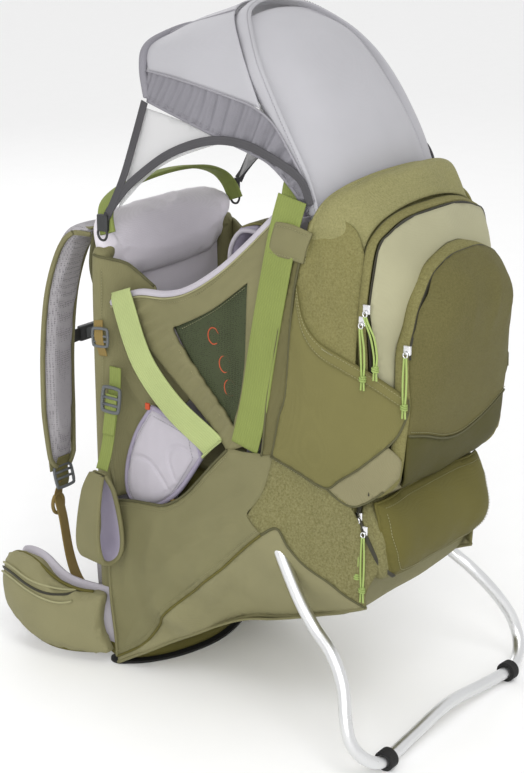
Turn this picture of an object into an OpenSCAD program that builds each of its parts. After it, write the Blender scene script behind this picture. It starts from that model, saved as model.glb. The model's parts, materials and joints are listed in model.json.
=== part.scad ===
// Child carrier backpack: a tube frame with a fold-out stand, a cockpit seat,
// a wearer's harness, a rear luggage pack and a plug-in sunshade.
// +X is the wearer's left, -Y is forward for both people, +Z is up.
// The origin is on the floor, under the middle of the carrier's footprint.

/* [Frame] */
// Distance between the two front uprights, centre to centre
frame_w = 260; // [250:2:270]
// Height of the front uprights
frame_h = 610; // [580:5:630]
// Diameter of the frame's tube
frame_d = 16; // [14:1:18]
// Distance of the front uprights ahead of the origin
frame_front = 168; // [160:1:175]

/* [Stand] */
// Diameter of the folding stand's tube
stand_d = 16.5; // [14:0.5:18]
// Outer diameter of the rubber feet on the stand's bar
foot_d = 27; // [24:1:30]
// Diameter of the stand's pivot pins
pin_d = 8; // [6:1:9]

/* [Harness] */
// Distance between the two shoulder straps, centre to centre
strap_gap = 170; // [150:5:190]
// Width of a shoulder strap's pad
strap_w = 62; // [50:2:70]
// Width of the wide side webbing
web_w = 30; // [20:1:34]
// Thickness of all webbing
web_t = 2.5; // [2:0.5:3]

/* [Pack] */
// Half of the luggage pack's width at its widest
pack_hw = 147; // [135:1:149]
// Depth from the pack's front face to its rearmost point
pack_depth = 211; // [200:1:215]

/* [Sunshade] */
// Diameter of the sunshade's poles
pole_d = 8; // [6:1:9]
// Distance between the two pole sockets, centre to centre
pole_gap = 250; // [246:2:252]

/* [Hidden] */

frame_r = frame_d / 2;
stand_r = stand_d / 2;
pin_r = pin_d / 2;
pole_r = pole_d / 2;
half_w = frame_w / 2;
run_gap = 0.05;
pivot_y = 100;
pivot_z = 318;
pivot_x = 143;
pack_front = 340 - pack_depth;
$fn = 32;

// --- Colours ---
olive = "#6f7548";
heather = "#6b7140";
lime = "#86a443";
lilac = "#b9b7c4";
mesh_grey = "#8d8f92";
shade_grey = "#bdbec2";
metal = "#c9ccd0";
black = "#232425";

// --- Curves and swept shapes ---
function at(P, i) = P[max(0, min(len(P) - 1, i))];

// A point of the smooth curve between b and c, with neighbours a and d
function between(a, b, c, d, t) =
  0.5 * (2 * b + (c - a) * t + (2 * a - 5 * b + 4 * c - d) * t * t + (3 * b - a - 3 * c + d) * t * t * t);

// A smooth curve through all points of P, with n steps in each gap
function curve(P, n) = [
  for (i = [0 : len(P) - 2]) for (k = [0 : n - 1])
    between(at(P, i - 1), P[i], P[i + 1], at(P, i + 2), k / n),
  P[len(P) - 1]];

function unit(v) = v / norm(v);
function heading(C, i) = unit(at(C, i + 1) - at(C, i - 1));
function flip(p) = [-p[0], p[1], p[2]];

// A route given for x >= 0 and ending on x = 0, carried on to its mirror image
function both_sides(P) = concat(P, [for (i = [len(P) - 2 : -1 : 0]) flip(P[i])]);

// Rings of a round or flat section: a is the half size along "across", b the other half size
function rings(C, a, b, across, sides) = [
  for (i = [0 : len(C) - 1])
    let (t = heading(C, i), v = unit(cross(t, across)), u = cross(v, t))
      sides == 4
        ? [for (s = [[1, 1], [-1, 1], [-1, -1], [1, -1]]) C[i] + s[0] * a * u + s[1] * b * v]
        : [for (k = [0 : sides - 1]) C[i] + a * cos(360 * k / sides) * u + b * sin(360 * k / sides) * v]];

// A closed skin over rings that have the same even number of points
module skin(R) {
  m = len(R[0]);
  top = (len(R) - 1) * m;
  polyhedron([for (ring = R) each ring], [
    for (i = [0 : len(R) - 2]) for (k = [0 : m - 1])
      each let (a = i * m + k, b = i * m + (k + 1) % m) [[a, a + m, b + m], [a, b + m, b]],
    for (k = [0 : m / 2 - 2]) each [[k, k + 1, m - 2 - k], [k, m - 2 - k, m - 1 - k]],
    for (k = [0 : m / 2 - 2]) each [
      [top + k, top + m - 2 - k, top + k + 1], [top + k, top + m - 1 - k, top + m - 2 - k]]]);
}

module tube(P, r, across = [0, 1, 0], n = 4, sides = 12) skin(rings(curve(P, n), r, r, across, sides));
module band(P, w, t, across, n = 4) skin(rings(curve(P, n), w / 2, t / 2, across, 4));
module pad(P, w, t, across, n = 4) skin(rings(curve(P, n), w / 2, t / 2, across, 12));

// A cloth-like plate through a grid of points, t thick
function cloth_normal(S, i, j) =
  unit(cross(at(S[i], j + 1) - at(S[i], j - 1), at(S, i + 1)[j] - at(S, i - 1)[j]));
module cloth(G, t, n = 2) {
  S = [for (row = curve(G, n)) curve(row, n)];
  last = len(S[0]) - 1;
  skin([for (i = [0 : len(S) - 1]) concat(
    [for (j = [0 : last]) S[i][j] + cloth_normal(S, i, j) * t / 2],
    [for (j = [last : -1 : 0]) S[i][j] - cloth_normal(S, i, j) * t / 2])]);
}
function across_both(row) = concat(row, [for (i = [len(row) - 2 : -1 : 0]) flip(row[i])]);

// A bag: level sections [z, front y, rear y, half width], with soft corners
function soft(v) = sign(v) * sqrt(abs(v));
function level(s, sides) = [for (k = [0 : sides - 1])
  [s[3] * soft(cos(360 * k / sides)), (s[1] + s[2]) / 2 + (s[2] - s[1]) / 2 * soft(sin(360 * k / sides)), s[0]]];
module bag(S, sides = 24, n = 2) skin([for (s = curve(S, n)) level(s, sides)]);

// A flat plate in a plane of constant x, from outline points [y, z]
module side_plate(x, t) translate([x, 0, 0]) rotate([90, 0, 90]) linear_extrude(t) children();

module on_side(s) {
  if (s > 0) children();
  else mirror([1, 0, 0]) children();
}
module on_both() {
  on_side(1) children();
  on_side(-1) children();
}
module rod_x(x, y, z, r, len) translate([x, y, z]) rotate([0, 90, 0]) cylinder(h = len, r = r);

// --- Frame ---
module front_frame_tube() color(metal)
  tube(both_sides([
    [half_w, -frame_front, 62], [half_w, -frame_front, 300], [half_w, -frame_front, frame_h - 60],
    [half_w - 8, -frame_front, frame_h - 22], [half_w - 34, -frame_front - 2, frame_h - 2],
    [0, -frame_front - 6, frame_h]]), frame_r);

base_route = [
  [half_w, -frame_front, 61], [half_w + 1, -frame_front + 1, 34], [half_w - 2, -frame_front + 14, 15],
  [half_w - 26, -frame_front + 40, 12.5], [60, -106, 12.5], [0, -96, 12.5]];
module base_tube() color(metal) tube(both_sides(base_route), frame_r, [0, 1, 0.4]);

skid_t = 3.5;
module base_skid() color(black) linear_extrude(skid_t) offset(r = 14) polygon([
  for (p = curve(both_sides([for (i = [2 : 5]) base_route[i]]), 4)) [p[0], p[1] + 1],
  for (p = curve(both_sides([for (i = [2 : 5]) base_route[i]]), 4)) [-p[0], p[1] - 1]]);

module rear_frame_tube() color(metal)
  tube(both_sides([
    [124, 108, 326], [124, 118, 440], [122, 136, 530], [112, 146, 582], [80, 150, 600],
    [0, 150, 604]]), frame_r);

module seat_frame_tube() color(metal)
  tube(both_sides([
    [128, -150, 50], [128, -60, 120], [126, 30, 210], [122, 84, 280], [96, 100, 304],
    [0, 102, 306]]), frame_r);

// --- Stand ---
module stand_brackets() color(black) on_both() difference() {
  hull() {
    rod_x(127, pivot_y, pivot_z, 19, 8);
    translate([127, 86, 268]) cube([8, 24, 20]);
    translate([127, 98, 338]) cube([8, 22, 24]);
  }
  rod_x(120, pivot_y, pivot_z, pin_r + run_gap, 20);
}

module stand_pins() color(metal) on_both() {
  rod_x(126, pivot_y, pivot_z, pin_r, 26);
  rod_x(151.5, pivot_y, pivot_z, pin_r + 3, 3);
}

leg_route = [
  [pivot_x, pivot_y + 7, pivot_z - 12], [148, 126, 280], [155, 171, 206], [158, 200, 169],
  [166, 234, 144], [180, 262, 113], [198, 280, 77], [202, 290, 54], [195, 300, 36],
  [176, 308, 20], [150, 310, foot_d / 2 + 0.4], [90, 308, 18], [0, 306, 26]];
module kickstand() color(metal) {
  tube(both_sides(leg_route), stand_r);
  on_both() difference() {
    rod_x(136, pivot_y, pivot_z, 12, 14);
    rod_x(130, pivot_y, pivot_z, pin_r + run_gap, 30);
  }
}

module stand_feet() color(black) on_both()
  translate([150, 310, foot_d / 2 + 0.4]) rotate([0, 90 + 3, 0]) difference() {
    cylinder(h = 14, r = foot_d / 2, center = true);
    cylinder(h = 20, r = stand_r, center = true);
  }

// --- Wearer's side ---
module back_panel() color(mesh_grey) hull() on_both() {
  translate([98, -frame_front - 13, 80]) rotate([90, 0, 0]) cylinder(h = 12, r = 16);
  translate([88, -frame_front - 13, 560]) rotate([90, 0, 0]) cylinder(h = 12, r = 24);
}

module lumbar_pad() color(mesh_grey)
  pad(both_sides([[108, -206, 118], [60, -211, 120], [0, -212, 120]]), 90, 20, [0, 0, 1], 3);

module shoulder_yoke() color(olive) hull() on_both() {
  translate([80, -196, 520]) rotate([90, 0, 0]) cylinder(h = 8, r = 16);
  translate([90, -196, 592]) rotate([90, 0, 0]) cylinder(h = 8, r = 20);
}

strap_route = [
  [strap_gap / 2, -206, 604], [strap_gap / 2, -240, 603], [strap_gap / 2, -275, 572],
  [strap_gap / 2, -306, 510], [strap_gap / 2, -314, 430], [strap_gap / 2, -312, 350],
  [strap_gap / 2, -300, 286], [strap_gap / 2, -294, 246]];
module shoulder_strap(s) color(mesh_grey) on_side(s) pad(strap_route, strap_w, 16, [1, 0, 0]);

lower_web_route = [
  [strap_gap / 2, -297, 222], [strap_gap / 2, -308, 200], [strap_gap / 2 + 4, -296, 168],
  [strap_gap / 2 + 14, -276, 120], [strap_gap / 2 + 24, -252, 92], [strap_gap / 2 + 28, -226, 76]];
module lower_strap_webbing() color("#b39c63") on_both() band(lower_web_route, 22, web_t, [1, 0.2, 0]);

module strap_buckles() color("#5e6266") on_both()
  translate([strap_gap / 2, -295, 234]) rotate([14, 0, 0]) difference() {
    cube([32, 8, 20], center = true);
    translate([0, 0, 3]) cube([24, 12, 4], center = true);
    translate([0, 0, -5]) cube([24, 12, 4], center = true);
  }

module sternum_strap() color("#3c4034") {
  band(both_sides([[strap_gap / 2 - 34, -306, 425], [30, -316, 424], [14, -318, 424]]), 20, 3, [0, 0, 1], 2);
  translate([0, -318, 424]) cube([46, 12, 26], center = true);
}

belt_levels = [
  [[152, -181, 18], [156, -183, 64], [152, -180, 112]],
  [[170, -222, 14], [176, -224, 62], [168, -222, 116]],
  [[176, -266, 22], [182, -268, 76], [172, -266, 138]],
  [[172, -306, 40], [177, -310, 88], [168, -306, 138]],
  [[160, -330, 62], [164, -334, 92], [158, -330, 122]]];
module hip_belt(s) color(olive) on_side(s) cloth(belt_levels, 22, 3);

module hip_web() band([[146, -312, 110], [144, -312, 84], [143, -312, 60]], 25, web_t, [0, 1, 0], 2);
module hip_buckle_socket() color(black) on_side(1) {
  hip_web();
  translate([138, -329, 24]) cube([10, 34, 38]);
}
module hip_buckle_tongue() color(black) on_side(-1) {
  hip_web();
  translate([139, -327, 40]) cube([8, 30, 22]);
  for (y = [-325, -315, -305]) translate([140, y, 20]) cube([6, 6, 21]);
}

// --- Cockpit ---
wall_x = 135.5;
wall_outline = [
  [-146, 524], [-100, 546], [-50, 552], [-9, 567], [40, 600], [85, 640], [122, 676], [124, 500],
  [118, 400], [58, 368]];
window_outline = [[-30, 506], [84, 584], [62, 398]];
module cockpit_wall(s) color(olive) on_side(s) side_plate(wall_x, 5) difference() {
  polygon(wall_outline);
  polygon(window_outline);
}
module mesh_windows() color("#3f4a3c") on_both() side_plate(wall_x + 1.5, 2)
  offset(delta = -0.6) polygon(window_outline);

panel_levels = [
  [[142, -147, 14], [147, -147, 90], [149, -147, 170], [146, -147, 248]],
  [[148, -104, 40], [151, -100, 120], [151, -96, 190], [148, -92, 252]],
  [[160, -38, 106], [162, -28, 180], [159, -16, 240], [151, 0, 300]],
  [[169, 34, 184], [171, 44, 240], [165, 52, 300], [154, 58, 348]],
  [[167, 118, 278], [166, 120, 306], [162, 122, 336], [156, 124, 360]]];
module side_panel(s) color(olive) on_side(s) cloth(panel_levels, 4);

module lower_shell() color(heather) bag([
  [62, -92, -40, 96], [92, -92, 6, 112], [140, -88, 66, 116], [190, -84, 92, 117], [236, -80, 84, 115]]);

module child_seat() color(olive) bag([
  [292, -84, 36, 60], [300, -88, 40, 84], [314, -88, 40, 88], [322, -84, 36, 70]]);

module seat_wing(s) color(lilac) on_side(s) side_plate(126, 8) offset(r = 12)
  polygon([[-78, 376], [-118, 306], [-117, 266], [-97, 260], [-46, 292], [-12, 342], [-20, 364]]);

module child_back_pad() color(lilac) hull() on_both() {
  translate([84, 52, 344]) rotate([80, 0, 0]) cylinder(h = 16, r = 18, center = true);
  translate([70, 98, 586]) rotate([80, 0, 0]) cylinder(h = 16, r = 30, center = true);
}

module drool_pad() color(lilac)
  pad(both_sides([
    [130, -62, 590], [131, -110, 592], [122, -152, 598], [92, -170, 606], [0, -174, 612]]),
    60, 24, [0, 0, 1], 3);

module harness_pads() color(lilac) for (s = [1, -1])
  band([[s * 34, 78, 582], [s * 36, 72, 550], [s * 34, 63, 500], [s * 24, 54, 456]], 40, 9, [1, 0, 0], 3);
module harness_buckle() color(black) {
  translate([0, 38, 436]) cube([46, 10, 34], center = true);
  band([[0, 38, 420], [0, 35, 380], [0, 28, 323.5]], 25, web_t, [1, 0, 0], 2);
}

// --- Stirrups ---
stirrup_x = 179.5;
stirrup_y = -140;
stirrup_w = 46;
stirrup_turn = 8;
module stirrup_strap(s) color(lime) on_side(s) {
  band([[142, -138, 436], [144, -138, 414], [150, -138, 386], [161, -139, 334], [174, stirrup_y, 306]],
       20, web_t, [0, 1, 0], 3);
  translate([147.5, -138, 396]) rotate([0, -10, 0]) cube([7, 27, 22], center = true);
}
// Half of the foot loop, as (distance from its middle, height)
stirrup_half = [[3, 300], [13, 278], [20.5, 240], [22.5, 205], [16, 182], [0, 175]];
stirrup_outline = concat(stirrup_half, [for (k = [4:-1:0]) [-stirrup_half[k][0], stirrup_half[k][1]]]);
stirrup_loop = [for (p = stirrup_outline)
  [stirrup_x + p[0] * cos(stirrup_turn), stirrup_y - p[0] * sin(stirrup_turn), p[1]]];
module stirrup(s) color(olive) on_side(s)
  band(stirrup_loop, stirrup_w, 5, [sin(stirrup_turn), cos(stirrup_turn), 0]);

// --- Luggage pack ---
module pack_body() color(heather) bag([
  [180, pack_front + 10, 222, 120], [208, pack_front + 4, 243, 136], [300, pack_front, 243, pack_hw - 1],
  [400, pack_front + 8, 243, pack_hw], [500, pack_front + 26, 243, pack_hw - 2],
  [590, 176, 243, pack_hw - 7], [650, 190, 243, 128], [690, 196, 242, 106], [706, 204, 238, 84]]);

module middle_pocket() color(olive) bag([
  [350, 246, 262, 112], [376, 246, 271, 130], [500, 246, 283, 137], [596, 246, 287, 134],
  [650, 246, 284, 118], [686, 250, 276, 72]]);

module outer_pocket() color(olive) bag([
  [388, 290, 298, 96], [430, 290, 312, 122], [520, 290, 328, 119], [585, 290, 340, 100],
  [622, 290, 336, 72], [644, 292, 326, 36]]);

module lower_pocket() color(heather) bag([
  [232, 249, 268, 110], [254, 247, 290, 121], [280, 247, 287, 123], [312, 247, 268, 121], [330, 249, 258, 110]]);

module side_pockets() color(olive) on_both() side_plate(149, 3)
  polygon([[150, 276], [238, 264], [243, 500], [156, 545]]);

collar_levels = [
  [[141, 172, 636], [140, 206, 636]], [[134, 184, 682], [133, 222, 688]],
  [[104, 196, 708], [104, 238, 716]], [[52, 204, 720], [52, 248, 728]], [[0, 206, 723], [0, 250, 732]]];
module pack_collar() color(olive) cloth(concat(collar_levels,
  [for (i = [3 : -1 : 0]) [for (p = collar_levels[i]) flip(p)]]), 5);

// --- Handles and side webbing ---
module front_handle() color(lime) band(both_sides([
  [128, -166, 638], [112, -168, 656], [70, -166, 672], [0, -160, 678]]), 24, 6, [0, 1, 0]);
module rear_handle() color(lime) band(both_sides([
  [128, 140, 690], [124, 138, 716], [90, 130, 744], [0, 124, 756]]), 24, 4, [0, 1, 0]);

module side_strap(a, b) hull() for (p = [a, b]) translate(p) circle(d = web_w);
module side_straps() color(lime) on_both() side_plate(wall_x + 6, web_t) {
  side_strap([-112, 530], [26, 372]);
  side_strap([140, 660], [92, 388]);
}

// --- Sunshade ---
socket_y = 172;
pole_x = pole_gap / 2;
module shade_sockets() color(black) on_both() translate([pole_x, socket_y, 618]) difference() {
  cylinder(h = 60, r = pole_r + 3);
  translate([0, 0, 4]) cylinder(h = 60, r = pole_r + run_gap);
}

module shade_hoop() color("#9da0a6") {
  on_both() translate([pole_x, socket_y, 623]) cylinder(h = 66.5, r = pole_r);
  tube(both_sides([
    [pole_x, socket_y, 686], [pole_x, 163, 714], [pole_x + 1, 151, 740], [pole_x + 2, 135, 767],
    [pole_x + 2, 115, 798], [pole_x - 1, 96, 825], [117, 76, 850], [100, 52, 876], [70, 22, 901],
    [36, 6, 911], [0, 0, 914]]), pole_r, [0, 1, 0], 2, 10);
}

module shade_back() color(shade_grey) cloth([for (row = [
  [[112, 178, 688], [60, 188, 692], [0, 192, 694]],
  [[114, 150, 748], [60, 168, 760], [0, 176, 766]],
  [[114, 108, 816], [60, 126, 830], [0, 133, 836]],
  [[92, 58, 868], [52, 72, 880], [0, 80, 886]],
  [[60, 26, 892], [34, 24, 900], [0, 22, 904]]]) across_both(row)], 3);

module shade_canopy() color(shade_grey) cloth([for (row = [
  [[131, 104, 766], [131, 96, 806], [112, 50, 872], [62, 4, 908], [0, -12, 916]],
  [[131, 40, 772], [131, 30, 820], [110, 0, 870], [60, -24, 898], [0, -34, 906]],
  [[130, -30, 784], [130, -36, 830], [108, -52, 866], [60, -64, 886], [0, -70, 892]],
  [[128, -76, 797], [126, -84, 834], [104, -92, 858], [60, -100, 868], [0, -104, 872]]])
  across_both(row)], 3);

module shade_front_bar() color(shade_grey) tube(both_sides([
  [126, -86, 800], [124, -94, 836], [108, -101, 860], [60, -108, 871], [0, -112, 876]]),
  pole_r, [0, 1, 0], 3, 10);

tape_x = 136;
module shade_mesh_sides() color("#c9c9cc") on_both() side_plate(126, 1.5)
  polygon([[-92, 784], [-44, 774], [4, 762], [-8, 744], [-50, 724], [-92, 694], [-138, 652]]);

module shade_straps() color("#5c5e62") on_both() {
  band([[132, -90, 792], [134, -103, 748], [tape_x, -123, 694], [tape_x, -152, 640]], 10, web_t, [0, 1, 0.4], 3);
  band([[tape_x, -146, 650], [tape_x, -94, 702], [tape_x, -52, 731], [tape_x, 29, 759],
        [tape_x + 2, 101, 750], [tape_x + 2, 157, 728], [tape_x, 174, 700]], 12, web_t, [0, 0.6, 1], 3);
  translate([tape_x, -157, 632]) cube([6, 20, 26], center = true);
}

// --- Zip sliders, and the cord loop knotted through each slider's eye ---
middle_sliders = [[139, 260, 588], [140, 255, 573]];
outer_sliders = [[121, 306, 542]];
lower_sliders = [[126, 246, 318], [127, 255, 302]];
cord_r = 1.3;
eye = [4.4, 0, -8];
// One strand of a loop, from the eye down: [half the gap between strands, drop, share of the sideways lean]
strand_route = [[1.5, 0, 0], [1.8, -8, 0.2], [2.5, -24, 0.7], [2.3, -45, 1], [1.5, -60, 1], [2.2, -76, 1]];

module zip_sliders(places) color(metal) for (p = places) translate(p) {
  cube([5, 10, 12], center = true);
  translate([2, -3.5, eye[2]]) cube([4, 7, 7]);
}
module zip_pull(p, lean, drop) for (s = [1, -1])
  tube([for (q = strand_route) p + eye + [0, s * q[0] + lean * q[2], drop * q[1]]], cord_r, [0, 1, 0], 2, 8);

module zip_slider_middle() zip_sliders(middle_sliders);
module zip_slider_outer() zip_sliders(outer_sliders);
module zip_slider_lower() zip_sliders(lower_sliders);
module zip_pull_middle() color(lime) {
  zip_pull(middle_sliders[0], 16, 1);
  zip_pull(middle_sliders[1], 4, 1);
}
module zip_pull_outer() color(lime) zip_pull(outer_sliders[0], 0, 1);
module zip_pull_lower() color(lime) for (p = lower_sliders) zip_pull(p, 0, 1.15);

front_frame_tube();
base_tube();
base_skid();
rear_frame_tube();
seat_frame_tube();
stand_brackets();
stand_pins();
kickstand();
stand_feet();
back_panel();
lumbar_pad();
shoulder_yoke();
shoulder_strap(1);  // shoulder_strap_left
shoulder_strap(-1);  // shoulder_strap_right
lower_strap_webbing();
strap_buckles();
sternum_strap();
hip_belt(1);  // hip_belt_left
hip_belt(-1);  // hip_belt_right
hip_buckle_socket();
hip_buckle_tongue();
cockpit_wall(1);  // cockpit_wall_left
cockpit_wall(-1);  // cockpit_wall_right
mesh_windows();
side_panel(1);  // side_panel_left
side_panel(-1);  // side_panel_right
lower_shell();
child_seat();
seat_wing(1);  // seat_wing_left
seat_wing(-1);  // seat_wing_right
child_back_pad();
drool_pad();
harness_pads();
harness_buckle();
stirrup(1);  // stirrup_left
stirrup(-1);  // stirrup_right
stirrup_strap(1);  // stirrup_strap_left
stirrup_strap(-1);  // stirrup_strap_right
pack_body();
middle_pocket();
outer_pocket();
lower_pocket();
side_pockets();
pack_collar();
front_handle();
rear_handle();
side_straps();
shade_sockets();
shade_hoop();
shade_back();
shade_canopy();
shade_front_bar();
shade_mesh_sides();
shade_straps();
zip_slider_middle();
zip_slider_outer();
zip_slider_lower();
zip_pull_middle();
zip_pull_outer();
zip_pull_lower();
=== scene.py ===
import json
import math

import bmesh
import bpy
import numpy as np
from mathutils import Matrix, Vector, geometry

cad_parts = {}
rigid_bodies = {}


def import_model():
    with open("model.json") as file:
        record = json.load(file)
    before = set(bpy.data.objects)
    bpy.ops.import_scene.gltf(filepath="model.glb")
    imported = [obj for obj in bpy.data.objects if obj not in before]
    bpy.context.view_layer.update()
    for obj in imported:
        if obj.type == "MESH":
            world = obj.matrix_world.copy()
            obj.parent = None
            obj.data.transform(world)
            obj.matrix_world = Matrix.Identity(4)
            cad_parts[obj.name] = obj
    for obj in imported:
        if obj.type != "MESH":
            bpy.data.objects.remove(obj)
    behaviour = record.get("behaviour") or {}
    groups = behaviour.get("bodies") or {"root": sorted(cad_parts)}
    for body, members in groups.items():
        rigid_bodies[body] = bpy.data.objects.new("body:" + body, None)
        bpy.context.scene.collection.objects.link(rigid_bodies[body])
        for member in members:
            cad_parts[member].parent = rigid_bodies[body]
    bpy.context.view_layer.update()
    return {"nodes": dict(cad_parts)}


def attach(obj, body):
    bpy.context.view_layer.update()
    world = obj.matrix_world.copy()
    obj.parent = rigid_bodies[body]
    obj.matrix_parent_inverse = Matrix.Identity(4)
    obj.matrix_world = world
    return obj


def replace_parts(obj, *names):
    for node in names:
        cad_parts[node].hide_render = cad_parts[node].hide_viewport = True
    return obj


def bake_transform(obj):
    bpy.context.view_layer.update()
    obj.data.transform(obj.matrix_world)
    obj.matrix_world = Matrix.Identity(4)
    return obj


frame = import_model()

# The looks of a child carrier backpack. Lengths are in millimetres until mesh() makes them metres.
# +X is the wearer's left, -Y is forward, +Z is up. s is 1 for the left side and -1 for the right.
MM = 0.001
SIDES = (("left", 1), ("right", -1))

# ---------------------------------------------------------------- camera, light and floor


def camera():
    cam = bpy.data.objects.new("camera", bpy.data.cameras.new("camera"))
    bpy.context.scene.collection.objects.link(cam)
    bpy.context.scene.camera = cam
    cam.location = (1.8255, 1.3988, 1.1684)
    aim = Vector((0, -0.002, 0.403)) - cam.location
    cam.rotation_euler = aim.to_track_quat("-Z", "Y").to_euler()
    cam.data.sensor_width = 36
    cam.data.lens = 83.8


def lamp(name, place, aim, size, watts):
    light = bpy.data.lights.new(name, "AREA")
    light.shape = "DISK"
    light.size = size
    light.energy = watts
    ob = bpy.data.objects.new(name, light)
    bpy.context.scene.collection.objects.link(ob)
    ob.location = place
    ob.rotation_euler = (Vector(aim) - Vector(place)).to_track_quat("-Z", "Y").to_euler()


def studio():
    bpy.context.scene.view_settings.view_transform = "Standard"
    world = bpy.data.worlds.new("studio")
    bpy.context.scene.world = world
    world.use_nodes = True
    world.node_tree.nodes["Background"].inputs["Color"].default_value = (1, 1, 1, 1)
    world.node_tree.nodes["Background"].inputs["Strength"].default_value = 0.9
    lamp("key", (1.3, 1.9, 3.0), (0, 0, 0.5), 1.4, 23)
    lamp("fill", (2.9, 0.5, 1.7), (0, -0.1, 0.55), 1.6, 15)
    lamp("near", (2.0, 1.55, 1.35), (0, -0.1, 0.55), 0.9, 18)
    lamp("front", (-1.6, -2.6, 2.2), (0, 0, 0.4), 1.8, 12)
    bpy.ops.mesh.primitive_plane_add(size=60)
    floor = bpy.context.object
    floor.name = "floor"
    floor.data.materials.append(material("floor_paper", (0.95, 0.95, 0.95), rough=0.9, cloud=0.005))


# ---------------------------------------------------------------- materials


class Nodes:
    """A small helper that adds shader nodes; an input given as a socket is linked, and a value is set."""

    def __init__(self, name):
        self.mat = bpy.data.materials.new(name)
        self.mat.use_nodes = True
        self.tree = self.mat.node_tree
        self.shader = self.tree.nodes["Principled BSDF"]

    def put(self, node, inputs):
        for key, value in inputs.items():
            socket = node.inputs[key]
            if isinstance(value, bpy.types.NodeSocket):
                self.tree.links.new(value, socket)
            else:
                socket.default_value = value
        return node

    def add(self, kind, inputs=(), **settings):
        node = self.tree.nodes.new("ShaderNode" + kind)
        for key, value in settings.items():
            setattr(node, key, value)
        return self.put(node, dict(inputs))

    def math(self, what, a, b=0.0):
        return self.add("Math", {0: a, 1: b}, operation=what).outputs[0]

    def mix(self, share, a, b):
        node = self.add("Mix", {0: share, 6: a, 7: b}, data_type="RGBA")
        return node.outputs[2]

    def ramp(self, value, low, high):
        node = self.add("MapRange", {0: value, 1: low, 2: high, 3: 0.0, 4: 1.0})
        return node.outputs[0]


def shade(colour, k):
    """A colour made k times as bright."""
    return (*[min(1.0, c * k) for c in colour[:3]], 1.0)


def threads(n, place, pitch):
    """Heights of an over-and-under weave: threads along all three axes, pitch apart."""
    at = n.add("VectorMath", {0: place, "Scale": 2 * math.pi / pitch}, operation="SCALE").outputs[0]
    axes = n.add("SeparateXYZ", {0: at}).outputs
    waves = [n.math("SINE", a) for a in axes]
    pairs = [n.math("MULTIPLY", waves[i], waves[j]) for i, j in ((0, 1), (1, 2), (0, 2))]
    return n.math("ADD", n.math("ADD", pairs[0], pairs[1]), pairs[2])


def material(name, colour, rough=0.7, metal=0.0, sheen=0.0, weave=0.0, pitch=1.2, grain=0.0, grain_size=4.0,
             cloud=0.08, crumple=0.0, crumple_size=45.0, ribs=0.0, rib_pitch=1.6, check=0.0, check_pitch=6.0,
             holes=0.0, hole_pitch=3.0, alpha=1.0, coat=0.0, fleck=None):
    """A cloth, plastic or metal made of the same few layers; sizes are in millimetres."""
    n = Nodes(name)
    place = n.add("TexCoord").outputs["Object"]
    uv = n.add("UVMap", uv_map="cloth").outputs["UV"]
    noise = lambda size, detail=3.0: n.add("TexNoise",
                                           {"Vector": place, "Scale": 1000.0 / size, "Detail": detail,
                                            "Roughness": 0.55}).outputs["Fac"]
    tone = n.mix(n.ramp(noise(70.0), 0.3, 0.7), shade(colour, 1 - cloud), shade(colour, 1 + cloud))
    height = None

    def stack(new, amount):
        nonlocal height
        part = n.math("MULTIPLY", new, amount)
        height = part if height is None else n.math("ADD", height, part)

    if grain:
        speck = n.ramp(noise(grain_size, 6.0), 0.35, 0.65)
        tone = n.mix(n.math("MULTIPLY", speck, grain), tone, fleck or shade(colour, 1.45))
        dark = n.ramp(noise(grain_size * 0.7, 4.0), 0.52, 0.66)
        tone = n.mix(n.math("MULTIPLY", dark, grain), tone, shade(colour, 0.55))
        stack(speck, 0.3)
    # The weave's and the ribs' sunken parts are drawn darker: painted shade in their recesses.
    if weave:
        cross = threads(n, place, pitch * MM)
        tone = n.mix(n.ramp(cross, -1.2, 1.2), shade_link(n, tone, 1 - weave * 0.35), tone)
        stack(cross, weave)
    if ribs:
        along = n.add("SeparateXYZ", {0: uv}).outputs[0]
        across = n.add("SeparateXYZ", {0: uv}).outputs[1]
        rib = n.math("SINE", n.math("MULTIPLY", along, 2 * math.pi / (rib_pitch * MM)))
        cord = n.math("SINE", n.math("MULTIPLY", across, 2 * math.pi / (rib_pitch * 2.2 * MM)))
        both = n.math("ADD", rib, n.math("MULTIPLY", cord, 0.6))
        tone = n.mix(n.ramp(both, -1.6, 1.2), shade_link(n, tone, 1 - ribs * 0.4), tone)
        stack(both, ribs)
    if check:
        lines = []
        for axis in n.add("SeparateXYZ", {0: place}).outputs:
            wave = n.math("SINE", n.math("MULTIPLY", axis, 2 * math.pi / (check_pitch * MM)))
            lines.append(n.ramp(wave, 0.9, 1.0))
        grid = n.math("MAXIMUM", n.math("MAXIMUM", lines[0], lines[1]), lines[2])
        tone = n.mix(n.math("MULTIPLY", grid, check), tone, shade(colour, 1.35))
        stack(grid, check)
    # The mesh holes are drawn darker: painted shade in them.
    if holes:
        cells = n.add("TexVoronoi", {"Vector": place, "Scale": 1000.0 / hole_pitch, "Randomness": 0.25})
        pit = n.ramp(cells.outputs["Distance"], 0.15, 0.45)
        tone = n.mix(n.math("MULTIPLY", n.math("SUBTRACT", 1.0, pit), holes), tone, shade(colour, 0.35))
        stack(pit, holes * 2)
    if crumple:
        stack(noise(crumple_size, 2.0), crumple * 14)
        stack(noise(crumple_size * 0.3, 2.0), crumple * 4)
    finish = {"Base Color": tone, "Metallic": metal, "Coat Weight": coat}
    if not metal and rough > 0.5:
        finish["Specular IOR Level"] = 0.22
    finish["Roughness"] = n.math("ADD", n.math("MULTIPLY", noise(25.0), 0.16), rough - 0.08)
    if sheen:
        n.put(n.shader, {"Sheen Weight": sheen, "Sheen Roughness": 0.5, "Sheen Tint": shade(colour, 1.6)})
    if height is not None:
        bump = n.add("Bump", {"Height": height, "Strength": 0.55, "Distance": 0.0006})
        finish["Normal"] = bump.outputs[0]
    if alpha < 1:
        finish["Alpha"] = alpha
    n.put(n.shader, finish)
    return n.mat


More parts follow.
